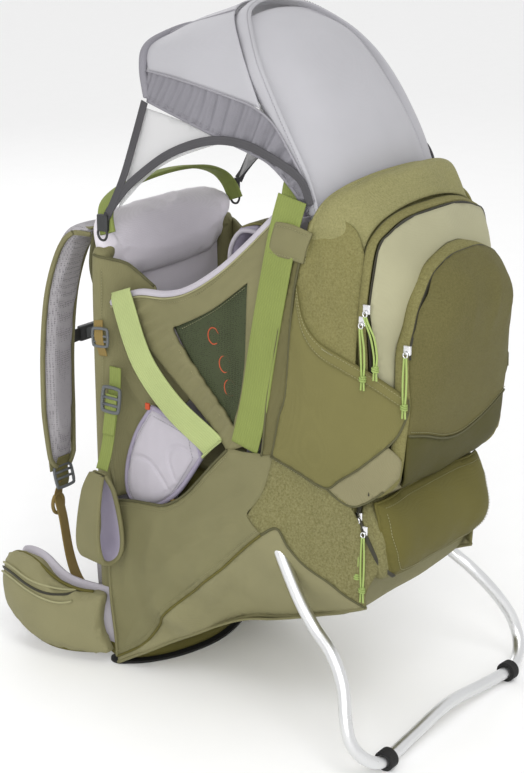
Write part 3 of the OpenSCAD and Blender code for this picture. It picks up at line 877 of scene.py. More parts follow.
# How far the outer pocket's face stands behind the origin: (x, z, y)
FACE = Fitted(both([(0, 640, 306), (0, 626, 324), (0, 600, 336), (0, 560, 338), (0, 520, 331),
                    (0, 470, 321), (0, 430, 311), (0, 401, 304), (0, 370, 294), (0, 352, 284),
                    (0, 338, 266), (40, 636, 306), (36, 619, 330), (40, 596, 338), (45, 545, 334),
                    (45, 480, 321), (45, 430, 310), (45, 395, 302), (72, 622, 306), (62, 604, 330),
                    (75, 568, 331), (80, 520, 324), (80, 480, 317), (80, 430, 309), (80, 385, 301),
                    (80, 356, 286), (80, 342, 268), (100, 585, 306), (86, 578, 325), (98, 540, 318),
                    (102, 500, 313), (116, 542, 304), (114, 500, 306), (112, 470, 307), (112, 430, 303),
                    (112, 381, 297), (112, 360, 286), (112, 344, 266)]))

# The middle compartment's face
MIDDLE = Fitted(both([(0, 683, 262), (0, 668, 276), (0, 648, 286), (0, 560, 290), (0, 400, 290),
                      (61, 676, 262), (56, 655, 278), (60, 632, 287), (96, 670, 261), (113, 663, 261),
                      (100, 640, 278), (122, 647, 261), (105, 600, 284), (130, 616, 261), (120, 600, 274),
                      (135, 588, 261), (124, 560, 276), (130, 500, 262), (122, 500, 282), (129, 420, 262),
                      (121, 420, 284), (128, 350, 262), (118, 350, 284), (60, 500, 292)]))

# The lower pocket's face
LOWER = Fitted(both([
    (0, 336, 262), (0, 320, 276), (0, 300, 285), (0, 275, 290), (0, 250, 287), (0, 232, 270), (60, 336, 261),
    (60, 310, 281), (60, 275, 289), (60, 245, 286), (60, 232, 270), (122, 334, 258), (116, 310, 274),
    (112, 275, 284), (108, 246, 280), (100, 231, 266), (128, 300, 262), (130, 270, 266), (124, 244, 264)]))

ARC1 = [(132, 246, 350), (133, 246, 500), (137, 246, 560), (134, 246, 596), (127, 246, 641),
        (119, 246, 660), (94, 246, 678), (61, 246, 687), (26, 246, 690), (0, 246, 690)]
ZIP1 = [(128, 260, 350), (129, 260, 500), (135, 260, 560), (135, 260, 588), (130, 260, 616),
        (122, 260, 647), (113, 260, 663), (96, 260, 670), (73, 260, 678), (47, 260, 682), (0, 260, 683)]
ARC2 = [(118, 284, 400), (118, 286, 425), (119, 288, 470), (118, 288, 533), (106, 288, 560), (95, 288, 593),
        (80, 288, 613), (62, 288, 630), (20, 288, 645), (0, 288, 647)]
ZIP2 = [(112, 307, 470), (115, 306, 500), (116, 306, 542), (108, 306, 564), (100, 306, 585), (88, 306, 602),
        (72, 306, 622), (53, 306, 632), (31, 306, 639), (0, 306, 640)]
EDGE2 = [(112, 266, 344), (112, 286, 360), (112, 297, 381), (112, 303, 430)] + ZIP2


def sideways(x):
    """A surface over the points q = (y, z), which stands at x(q)."""
    return lambda q: np.c_[x(np.atleast_2d(q)), np.atleast_2d(q)]


def rear(y):
    """A surface over the points q = (x, z), which stands at y(q)."""
    return lambda q: np.c_[np.atleast_2d(q)[:, 0], y(np.atleast_2d(q)), np.atleast_2d(q)[:, 1]]


def side(s, under=0):
    """The side cloth, or a surface at a distance under it."""
    return sideways(lambda q: s * (SIDE(q) - under))


def level(y):
    """The upright plane at y."""
    return rear(lambda q: np.full(len(q), float(y)))


def on_side(line, s, out):
    """A smooth line of (y, z) points laid on the side cloth."""
    return side(1)(curve(line, 8)) * (s, 1, 1) + np.array((s * out, 0, 0))


def on_face(line, fit, out):
    """A smooth line of (x, z) points laid on a face at the rear."""
    return rear(fit)(curve(line, 8)) + np.array((0, out, 0))


def xz(line):
    """A line as seen from behind."""
    return [(p[0], p[2]) for p in line]


# ---------------------------------------------------------------- pieces


def cords():
    """The zip pulls: each is a loop of cord through a slider's eye, knotted below."""
    r, eye = 1.3, np.array((4.4, 0, -8))
    route = [(1.5, 0, 0), (1.8, -8, 0.2), (2.5, -24, 0.7), (2.3, -45, 1), (1.5, -60, 1), (2.2, -76, 1)]
    pulls = [("middle_a", (139, 260, 588), 16, 1, "zip_slider_middle"),
             ("middle_b", (140, 255, 573), 4, 1, "zip_slider_middle"),
             ("outer", (121, 306, 542), 0, 1, "zip_slider_outer"),
             ("lower_a", (126, 246, 318), 0, 1.15, "zip_slider_lower"),
             ("lower_b", (127, 255, 302), 0, 1.15, "zip_slider_lower")]
    for label, place, lean, drop, node in pulls:
        top = np.array(place) + eye
        middle = top + (0, lean, -62 * drop)
        turns = [middle + (3.1 * math.cos(a), 3.4 * math.sin(a), 3.6 - a * 0.42)
                 for a in np.linspace(0, 5.5 * math.pi, 60)]
        wrap = sweep("pull_knot_" + label, turns, circle(r, 8), "cord", node)
        for s, letter in ((1, "p"), (-1, "q")):
            points = [top + (0, s * q[0] + lean * q[2], drop * q[1]) for q in route]
            data = bpy.data.curves.new("pull_" + label + "_" + letter, "CURVE")
            data.dimensions = "3D"
            data.bevel_depth = r * MM
            data.bevel_resolution = 3
            data.use_fill_caps = True
            line = curve(points, 6)
            spline = data.splines.new("POLY")
            spline.points.add(len(line) - 1)
            for point, p in zip(spline.points, line):
                point.co = (*(p * MM), 1)
            data.materials.append(CLOTH["cord"])
            ob = bpy.data.objects.new(data.name, data)
            bpy.context.scene.collection.objects.link(ob)
            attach(ob, home(node))
            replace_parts(ob, node.replace("slider", "pull"))
        slider = [block("slider", (5, 10, 12), place, "steel", 1.6),
                  ring_tube(about(top + (0, 0, 3), (0, 3, 3.6), np.linspace(0, 5.2, 6)), 0.9, "steel")]
        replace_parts(joined("slider_" + label, slider, node), node)


def frame_tubes():
    """The tube frame, the stand and the sleeve over the front hoop."""
    tube_r, stand_r, eye_r = 8, 8.25, 12
    routes = (
        ("front_hoop", "front_frame_tube",
         [(130, -168, 62), (130, -168, 300), (130, -168, 550), (122, -168, 588), (96, -170, 608),
          (0, -174, 610)]), ("floor_bend", "base_tube",
                             [(130, -168, 61), (131, -167, 34), (128, -154, 15), (104, -128, 12.5),
                              (60, -106, 12.5), (0, -96, 12.5)]),
        ("rear_hoop", "rear_frame_tube",
         [(124, 108, 326), (124, 118, 440), (122, 136, 530), (112, 146, 582), (80, 150, 600),
          (0, 150, 604)]), ("seat_rails", "seat_frame_tube",
                            [(128, -150, 50), (128, -60, 120), (126, 30, 210), (122, 84, 280),
                             (96, 100, 304), (0, 102, 306)]))
    for label, node, route in routes:
        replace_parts(tube(label, mirrored(route), tube_r, "aluminium", node), node)
    leg = mirrored([(143, 107, 306), (148, 126, 280), (155, 171, 206), (158, 200, 169), (166, 234, 144),
                    (180, 262, 113), (198, 280, 77), (202, 290, 54), (195, 300, 36), (176, 308, 20),
                    (150, 310, 13.9), (90, 308, 18), (0, 306, 26)])
    parts = [tube("stand_bend", leg, stand_r, "aluminium", None, n=9, sides=24)]
    for _, s in SIDES:
        parts.append(sweep("eye", np.array([(s * x, 100, 318) for x in (136, 136.6, 143, 149.4, 150)]),
                           circle(eye_r, 24), "aluminium", None,
                           scale=np.array([[0.9], [1], [1], [1], [0.9]])))
    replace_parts(joined("stand_bar", parts, "kickstand"), "kickstand")
    # The cloth sleeve over the front hoop, which is tighter along the top bar
    sleeve = curve(mirrored([(130, -168, 40), (130, -169, 240), (130, -169, 550), (122, -169, 588),
                             (96, -171, 608), (0, -175, 610)]), 12)
    tight = varied(sleeve, [0, 0.36, 0.4, 0.6, 0.64, 1], [1, 1, 0.66, 0.66, 1, 1])
    sweep("front_sleeve", sleeve, circle(12.5, 20), "olive", "front_frame_tube", scale=tight)
    # These CAD nodes are shown as they are, in a better material
    for node, mat in (("stand_brackets", "plastic"), ("stand_pins", "steel"), ("stand_feet", "rubber"),
                      ("base_skid", "rubber"), ("shade_sockets", "plastic")):
        part = frame["nodes"][node]
        part.data.materials.clear()
        part.data.materials.append(CLOTH[mat])


def cockpit(label, s):
    """One side of the cockpit: its wall, window, side panel and wide straps."""
    wall_top = [(-146, 524), (-100, 546), (-50, 552), (-9, 567), (40, 600), (85, 640), (124, 678)]
    plate = side(s, 3)
    node = "cockpit_wall_" + label
    runs = [wall_top, [(124, 678), (126, 500), (118, 400)], [(118, 400), (58, 366)],
            [(58, 366), (-146, 524)]]
    hole = [[(-30, 516), (24, 546), (84, 592)], [(84, 592), (80, 486), (64, 400)],
            [(64, 400), (14, 446), (-38, 504), (-30, 516)]]
    creases = [((-112 + 13 * k, 512 - 11 * k), (-78 + 12 * k + 4 * (k % 3), 536 - 10 * k - 4 * (k % 2)),
                5, 4.2 - 1.2 * (k % 2)) for k in range(14)]
    # The wall's inner face is in the lighter lilac, painted light against the cockpit's shade.
    wall = panel("wall_" + label, runs, plate, None, node, 4, 0, step=4, holes=[hole], folds=creases,
                 wave=0.9, wave_size=50, turn=s, mats=["olive", "lining"])
    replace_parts(wall, node)
    rim = plate(curve(wall_top, 6)) + (-s * 1.5, 0, 1.5)
    piping(rim, 5.0, "lilac", node, "rim_" + label)
    piping(rim + (s * 4, 0, -5), 1.1, "pipe", node, "rim_edge_" + label)
    net = panel("window_" + label, [[(-40, 512), (24, 552), (90, 600)], [(90, 600), (86, 486), (66, 392)],
                                    [(66, 392), (10, 440), (-40, 512)]],
                side(s, 5), "window", node, 1, turn=s, step=6)
    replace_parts(net, "mesh_windows")
    for k, (y, z) in enumerate(((26, 512), (44, 478), (52, 448))):
        loop = about((s * 134, y, z), (0, 9, 11), np.linspace(0.4, 5.4, 7))
        sweep("red_loop_%s_%d" % (label, k), curve(loop, 5), web_section(7, 1.6), "red", node, (1, 0, 0))
    stitched = [plate(curve(r, 4)) + (s * 2.4, 0, 0) for r in (
        [(-130, 527), (-80, 543), (-40, 545), (10, 568), (80, 626)], [(-24, 513), (30, 546), (84, 588)],
        [(-40, 498), (10, 437), (60, 392)])]
    joined("wall_seams_" + label, [stitches(line, (s, 0, 0)) for line in stitched], node)
    # The cloth behind the front upright, with its buckle and webbing
    front = sideways(lambda q: s * (139 - 18 * smooth(q[:, 0], -168, -126)))
    panel("front_cloth_" + label, [[(-172, 590), (-130, 580), (-84, 556)],
                                   [(-84, 556), (-58, 500), (-20, 440), (-40, 400), (-84, 388),
                                    (-110, 350), (-122, 300), (-118, 262)], [(-118, 262), (-150, 250)],
                                   [(-150, 250), (-174, 400), (-172, 590)]], front, "olive", node, 2.5,
          step=6, wave=1.4, wave_size=46, turn=s,
          folds=[((-150, 560), (-110, 490), 7, 4), ((-140, 500), (-80, 440), 7, 4),
                 ((-150, 440), (-100, 380), 7, 4), ((-150, 380), (-110, 320), 7, 3)])
    edge = front(curve([(-172, 588), (-130, 579), (-84, 556)], 5)) + (s * 2, 0, 0)
    seam = front(spaced([(-160, 570), (-163, 400), (-150, 262)], 8)) + (s * 2.6, 0, 0)
    joined("front_edge_" + label, [piping(edge, 1.8, "pipe_dark"), stitches(seam, (s, 0, 0))], node)
    ladder_lock("front_lock_" + label, (s * 146, -160, 478), 26, 24, 4, "grey_plastic", node, (0, 1, 0.1),
                (0, 0, -1))
    strap("front_web_" + label, [(s * 142, -166, 500), (s * 145.5, -163, 486), (s * 147.5, -161, 476),
                                 (s * 142, -159, 452)], 15, 1.6, (0, 1, 0), "tan", node)
    # Side panel
    node = "side_panel_" + label
    top = [(-147, 250), (-114, 258), (-77, 263), (-49, 268), (-17, 288), (13, 319), (38, 348), (58, 370),
           (87, 374), (131, 380)]
    back = [(131, 380), (128, 359), (122, 330), (111, 311), (104, 297), (125, 276)]
    hem = [(125, 276), (88, 241), (54, 206), (17, 172), (-31, 129), (-72, 81), (-100, 45), (-147, 13)]
    folds = [((70, 300), (-30, 240), 9, 2.6), ((30, 250), (-70, 160), 11, 3.2),
             ((-20, 190), (-100, 80), 10, 3), ((-60, 250), (-80, 160), 9, 2.2),
             ((80, 350), (20, 320), 7, 2.4), ((100, 330), (60, 300), 6, 2),
             ((-110, 230), (-125, 120), 8, 2.4), ((-100, 90), (-135, 30), 6, 2.6)]
    skin = panel("side_" + label, [top, back, hem, [(-147, 13), (-150, 130), (-147, 250)]], side(s),
                 "olive", node, 3, step=6, wave=1.8, wave_size=75, folds=folds, turn=s)
    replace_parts(skin, node)
    edge = [piping(on_side(top[:8], s, 2), 1.9, "pipe_dark"),
            piping(on_side(hem, s, 1.5), 1.8, "olive_dark"),
            piping(on_side([(-148, 250), (-151, 130), (-148, 13)], s, 1), 2.4, "olive"),
            stitches(on_side([(p[0] - 4, p[1] + 6) for p in hem], s, 3), (s, 0, 0)),
            stitches(on_side([(p[0] + 2, p[1] - 7) for p in top[:8]], s, 3), (s, 0, 0))]
    joined("side_seams_" + label, edge, node)
    # The smooth underside below the hem seam, in the lighter olive whose extra lightness is painted light
    belly = [(-148, 3), (-90, 38), (-13, 83), (60, 123), (116, 141), (184, 166), (258, 198)]
    shell_top = [(258, 198), (237, 210), (216, 225), (181, 242), (161, 263), (146, 288), (125, 276)]
    under = panel("under_side_" + label,
                  [hem[::-1], shell_top[::-1], belly[::-1], [(-148, 3), (-147, 13)]], side(s),
                  "olive_light", "lower_shell", 3, step=6, wave=1.6, wave_size=60, lift=-0.5, turn=s,
                  folds=[((60, 190), (-20, 110), 8, 2), ((150, 250), (80, 170), 9, 2),
                         ((-50, 70), (-120, 30), 6, 2)])
    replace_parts(under, "lower_shell")
    joined("under_seams_" + label, [piping(on_side(shell_top[::-1], s, 1.5), 1.7, "pipe_dark"),
                                    piping(on_side(belly, s, 0), 2.6, "olive")], "lower_shell")
    # Wide webbing down the side; the lower strap is in the lighter lime, painted light where it faces the
    # light
    band_x = s * 146.5
    first = strap("side_strap_low_" + label,
                  [(s * 143, -124, 548), (band_x, -117, 530), (band_x + s, -86, 460),
                   (band_x + s, -35, 408), (band_x, 24, 372), (s * 154, 34, 366)], 39, 2.4,
                  (0, 0.75, 0.66), "lime_light", "side_straps")
    second = strap("side_strap_high_" + label,
                   [(s * 139, 150, 706), (s * 146, 140, 655), (s * 149, 118, 540), (s * 149, 100, 440),
                    (s * 151, 86, 380)], 42, 2.4, (0, 1, -0.2), "lime", "side_straps")
    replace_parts(joined("side_straps_" + label, [first, second], "side_straps"), "side_straps")
    cloth_grid("strap_sleeve_" + label,
               [[(s * 145, 120, 634), (s * 147, 146, 634), (s * 143, 170, 630)],
                [(s * 147, 125, 654), (s * 150, 151, 656), (s * 144, 176, 650)],
                [(s * 144, 130, 676), (s * 146, 156, 676), (s * 141, 182, 668)]], "olive", "side_straps",
               3, (6, 6), turn=-s, wave=1)
    rows = [[(149.5, 123, 638), (152, 147, 638), (147, 168, 634)],
            [(148.5, 132, 672), (149, 156, 672), (144.5, 180, 664)]]
    joined("sleeve_seams_" + label, [stitches(flip(row, s), (s, 0, 0)) for row in rows], "side_straps")


def luggage(label, s):
    """The cloth on one side of the pack."""
    node = "pack_body"
    strip = panel("pack_strip_" + label,
                  [[(168, 636), (163, 623), (157, 571), (151, 469), (140, 431), (131, 380)],
                   [(131, 380), (115, 376)], [(115, 376), (120, 449), (135, 529), (150, 613), (152, 640)],
                   [(152, 640), (168, 636)]], side(s), "olive_mid", node, 3, step=6, turn=s, lift=0.5,
                  wave=0.6)
    upper = panel("pack_upper_" + label,
                  [[(163, 623), (168, 640), (172, 679), (185, 684), (200, 694)],
                   [(200, 694), (232, 678), (246, 650)], [(246, 650), (246, 600), (246, 480)],
                   [(246, 480), (152, 480)], [(152, 480), (157, 571), (163, 623)]], side(s), "heather",
                  node, 3, step=6, turn=s, wave=1.2, wave_size=55,
                  folds=[((190, 680), (200, 600), 8, 2), ((220, 660), (225, 580), 7, 1.6),
                         ((170, 620), (200, 570), 6, 1.6)])
    low = panel("pack_low_" + label,
                [[(131, 380), (171, 369), (212, 357)], [(212, 357), (240, 337)],
                 [(240, 337), (246, 316), (255, 296), (264, 271), (272, 248)],
                 [(272, 248), (259, 220), (258, 198)],
                 [(258, 198), (237, 210), (216, 225), (181, 242), (161, 263), (146, 288)],
                 [(146, 288), (125, 276)], [(125, 276), (104, 297)],
                 [(104, 297), (111, 311), (122, 330), (128, 359), (131, 380)]], side(s), "heather_low",
                node, 3, step=6, turn=s, wave=1.4, wave_size=60,
                folds=[((230, 340), (180, 280), 9, 2), ((140, 350), (170, 300), 8, 1.8)])
    pale = panel("pack_pale_" + label,
                 [[(284, 417), (298, 400), (296, 378)], [(296, 378), (277, 356), (258, 340)],
                  [(258, 340), (240, 334), (212, 355)], [(212, 355), (255, 388), (284, 417)]], side(s),
                 "pale_low", node, 3, step=5, turn=s, lift=0.5)
    seams = [piping(on_side([(115, 376), (120, 449), (135, 529), (150, 613)], s, 2), 1.6, "pipe_dark"),
             piping(on_side([(131, 380), (140, 431), (151, 469), (157, 571), (163, 623), (168, 640)], s,
                            2.4), 1.6, "pipe_dark"),
             piping(on_side([(131, 380), (171, 369), (212, 355)], s, 2), 1.5, "pipe_dark"),
             piping(on_side([(212, 355), (240, 335), (258, 340), (277, 356)], s, 2), 1.5, "pipe_dark"),
             stitches(on_side([(172, 630), (178, 676), (202, 688)], s, 2.4), (s, 0, 0)),
             stitches(on_side([(136, 374), (172, 363), (210, 350)], s, 2.8), (s, 0, 0))]
    joined("pack_seams_" + label, seams, node)
    for part in (strip, upper, low, pale):
        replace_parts(part, node)
    # The stretch pocket, its hem band and bartack
    hem = [(164, 603), (176, 564), (199, 540), (235, 524), (264, 510), (286, 495), (306, 480)]
    rear_edge = [(306, 480), (306, 464), (300, 444), (294, 430), (284, 417)]
    bottom = [(284, 417), (255, 388), (231, 369), (212, 355), (171, 366), (129, 378)]
    front = [(129, 378), (140, 431), (148, 465), (156, 545), (164, 603)]
    pocket = panel(
        "stretch_pocket_" + label, [hem, rear_edge, bottom, front], side(s), "stretch", "side_pockets",
        2.5, crown=1.5, crown_run=40, step=6, turn=s, lift=1.6, wave=0.8, wave_size=90, back=0,
        folds=[((165, 560), (190, 470), 9, 1.5), ((300, 470), (240, 410), 9, 1.2)])
    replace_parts(pocket, "side_pockets")
    ribbon("pocket_hem_" + label, on_side(hem, s, 4.4),
           on_side([(p[0] + 1, p[1] - 17) for p in hem], s, 5), "stretch", "side_pockets", 2.4)
    tack = [stitches(on_side([(206, 533), (221, 527)], s, 6.6), (s, 0, 0), pitch=2.2, long=2.0, r=0.8)]
    rows = [stitches(on_side([(p[0] + 1, p[1] - 14) for p in hem], s, 6.4), (s, 0, 0)),
            stitches(on_side([(p[0], p[1] - 2.5) for p in hem], s, 5.8), (s, 0, 0)),
            piping(on_side(rear_edge, s, 3), 1.6, "pipe_dark"),
            piping(on_side(bottom, s, 3), 1.4, "pipe_dark")]
    joined("pocket_seams_" + label, rows + tack, "side_pockets")


def compartments():
    """The pack, its pockets and the cloth under it."""
    core = bag("pack_core", [(206, 150, 236, 118), (240, 146, 240, 132), (300, 140, 242, 140),
                             (400, 144, 242, 142), (500, 160, 242, 141), (590, 182, 242, 134),
                             (650, 194, 242, 122), (684, 200, 240, 100), (696, 206, 236, 80)], "heather",
               "pack_body", power=9)
    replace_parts(core, "pack_body")
    # Middle compartment: gusset, zip and face
    arc, zip_line = curve(mirrored(ARC1), 6), curve(mirrored(ZIP1), 6)
    outer = zip_line + unit(np.c_[zip_line[:, 0], np.zeros(len(zip_line)),
                                  np.maximum(zip_line[:, 2] - 560, 0)]) * (2, 0, 2)
    ribbon("middle_gusset", arc, outer + (0, -2, 0), "heather", "middle_pocket", 3, bulge=1.5, turn=-1)
    rim = [p for p in xz(curve(mirrored(ZIP1), 4)) if p[1] > 430]
    face = panel("middle_face", [rim, [rim[-1], rim[0]]], rear(MIDDLE), "pale", "middle_pocket", 3,
                 step=6, turn=-1, wave=1.0, wave_size=60)
    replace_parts(face, "middle_pocket")
    up = unit(np.c_[zip_line[:, 0] * 0.4, np.full(len(zip_line), 60),
                    np.maximum(zip_line[:, 2] - 560, 0) * 0.4])
    zip_along("middle_zip", zip_line + unit(up) * 1.5, (0.3, 1, 0.3), "middle_pocket", 3.2)
    outward = unit(np.c_[arc[:, 0], arc[:, 0] * 0, arc[:, 2] - 500]).mean(0)
    joined("middle_seams", [piping(arc + (0, 1, 0), 1.7, "pipe_dark"), stitches(arc + (0, 5, 0), outward)],
           "middle_pocket")
    # Outer compartment
    arc, zip_line = curve(mirrored(ARC2), 6), curve(mirrored(ZIP2), 6)
    edge = curve(mirrored(EDGE2), 6)
    low = curve(mirrored([(128, 244, 346), (127, 258, 354), (121, 276, 380)] + ARC2[1:]), 6)
    ribbon("outer_gusset", low, edge, "heather", "outer_pocket", 3, bulge=1.5, turn=-1)
    split = [(-112, 432), (-80, 424), (-38, 409), (0, 403), (38, 409), (80, 424), (112, 432)]
    upper = panel("outer_face", [xz(curve(mirrored(ZIP2), 4)), [(-112, 470), (-112, 432)], split,
                                 [(112, 432), (112, 470)]], rear(FACE), "heather_dark", "outer_pocket", 3,
                  step=5, turn=-1, wave=1.4, wave_size=70,
                  folds=[((-30, 610), (-20, 540), 8, 2), ((30, 600), (26, 540), 8, 1.6),
                         ((-70, 590), (-62, 540), 7, 2)])
    foot = panel("outer_foot", [split[::-1], [(-112, 432), (-109, 385), (-92, 356)],
                                [(-92, 356), (0, 347), (92, 356)], [(92, 356), (109, 385), (112, 432)]],
                 rear(FACE), "foot", "outer_pocket", 3, step=6, turn=-1)
    for part in (upper, foot):
        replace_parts(part, "outer_pocket")
    zip_line = zip_line[zip_line[:, 2] > 528]
    zip_along("outer_zip", zip_line + (0, 1, 0), (0.35, 1, 0.3), "outer_pocket", 3.2)
    joined("outer_seams", [piping(arc + (0, 1, 0), 1.7, "pipe_dark"),
                           piping(on_face(split, FACE, 2.5), 1.5, "pipe_dark"),
                           stitches(on_face([(p[0], p[1] + 5) for p in split], FACE, 3), (0, 1, 0)),
                           piping(edge[:1].repeat(2, 0) + ((0, 0, 0), (0, 0, 1)), 1, "pipe_dark")],
           "outer_pocket")
    panel("grey_strip", [[(112, 420), (109, 385), (92, 356)], [(92, 356), (0, 347), (-92, 356)],
                         [(-92, 356), (-109, 385), (-112, 420)], [(-112, 420), (-113, 344)],
                         [(-113, 344), (0, 337), (113, 344)], [(113, 344), (112, 420)]],
          lambda q: rear(FACE)(q) + (0, -5, 0), "pale_low", "outer_pocket", 3, step=6, turn=-1)
    # Lower pocket with its flap
    base = bag(
        "lower_pocket_bag", [(230, 245, 268, 104), (240, 244, 280, 118), (256, 243, 287, 124),
                             (280, 243, 286, 127), (306, 243, 278, 127), (324, 243, 266, 124),
                             (338, 243, 256, 116)], "heather_low", "lower_pocket", power=6, wave=1.2)
    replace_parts(base, "lower_pocket")
    loop = [[(118, 336), (0, 339), (-118, 336)], [(-118, 336), (-121, 300), (-116, 262)],
            [(-116, 262), (-108, 246), (-94, 240)], [(-94, 240), (0, 236), (94, 240)],
            [(94, 240), (108, 246), (116, 262)], [(116, 262), (121, 300), (118, 336)]]
    flap = panel("lower_flap", loop, lambda q: rear(LOWER)(q) + (0, 3, 0), "olive_dark", "lower_pocket",
                 4, crown=2, crown_run=24, step=6, turn=-1, wave=1.3, wave_size=70)
    rim = rear(LOWER)(outline_of(loop, 4)) + (0, 4, 0)
    seam = rear(LOWER)(outline_of(scaled(loop, (0, 288), (0.93, 0.88)), 4)) + (0, 8, 0)
    joined("flap_edge", [piping(closed(rim), 2.0, "olive_dark"), stitches(seam, (0, 1, 0))], "lower_pocket")
    zip_line = curve([(122, 244, 334), (128, 246, 318), (129, 255, 300), (128, 266, 280), (122, 277, 258),
                      (104, 284, 240)], 6)
    zip_along("lower_zip", zip_line, (1, 0.3, 0), "lower_pocket", 6)
    # Underside of the pack and the seat
    rows = []
    for y, w, z, sag in ((-120, 132, 22, -4), (-60, 124, 54, 0), (0, 120, 90, 4), (60, 122, 122, 6),
                         (116, 124, 140, 8), (184, 127, 166, 8), (236, 127, 190, 6), (252, 122, 232, 0)):
        half = [(w, y, z), (w * 0.75, y, z - sag * 0.8), (w * 0.35, y, z - sag)]
        rows.append(half + flip(half[::-1], -1))
    bottom = cloth_grid("bottom_cloth", rows, "olive", "lower_shell", 3, (5, 5), wave=2.0, wave_size=70,
                        turn=1)
    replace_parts(bottom, "lower_shell")
    hem = tube(
        "bottom_hem", mirrored([(130, -168, 40), (131, -167, 30), (128, -154, 16), (104, -128, 13.5),
                                (60, -106, 13.5), (0, -96, 13.5)]), 10.5, "olive_dark", "lower_shell")
    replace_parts(hem, "lower_shell")
    bag("seat_shell", [(70, -92, -34, 92), (92, -90, 6, 106), (140, -86, 66, 110), (190, -84, 92, 112),
                       (236, -80, 100, 112), (300, -84, 110, 112)], "olive_dark", "lower_shell", power=5,
        wave=1)


def collar():
    """The collar over the top of the pack, and the two grab handles."""
    rows = [
        [(134, 170, 640), (136, 178, 676), (126, 188, 702), (98, 196, 716), (50, 202, 724), (0, 204, 726)],
        [(133, 190, 650), (136, 198, 680), (124, 206, 705), (98, 214, 719), (50, 220, 728), (0, 224, 729)],
        [(127, 216, 652), (127, 220, 674), (115, 224, 694), (91, 228, 709), (46, 233, 719), (0, 237, 722)],
        [(119, 240, 640), (119, 242, 656), (109, 244, 672), (86, 245, 684), (44, 246, 693), (0, 247, 696)]]
    rows = [mirrored(r) for r in rows]
    top = cloth_grid("collar_cloth", rows, None, "pack_collar", 4, (6, 5), wave=3.2, wave_size=48, turn=1,
                     mats=["olive", "collar"])
    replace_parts(top, "pack_collar")
    line = curve(mirrored([(140, 170, 640), (137, 178, 676), (126, 188, 702), (98, 196, 716),
                           (50, 202, 724), (0, 204, 726)]), 6)
    joined("collar_edge", [piping(line, 3.2, "collar"), stitches(line + (0, 9, 3), (0, 0, 1))],
           "pack_collar")
    # Grab handles
    front = strap(
        "front_grab", mirrored([(134, -152, 618), (129, -160, 640), (112, -166, 658), (70, -166, 672),
                                (0, -161, 679)]), 26, 5, (0, 1, 0.15), "lime", "front_handle")
    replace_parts(front, "front_handle")
    back = strap("rear_grab", mirrored([(130, 140, 686), (124, 138, 716), (90, 130, 744), (0, 124, 756)]),
                 25, 3.5, (0, 1, 0), "lime", "rear_handle")
    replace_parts(back, "rear_handle")


def gathers(_, u, v):
    """The height of soft folds that fade toward the front, with finer folds over them."""
    fold = np.sin(2 * np.pi * (13 * u + 0.35 * np.sin(9 * u) + 0.9 * v))
    fine = np.sin(2 * np.pi * (29 * u + 2 * v))
    return 3.3 * fold * (0.35 + 0.65 * np.sin(np.pi * v)) * smooth(1 - u, -0.2, 0.9) + 1.2 * fine


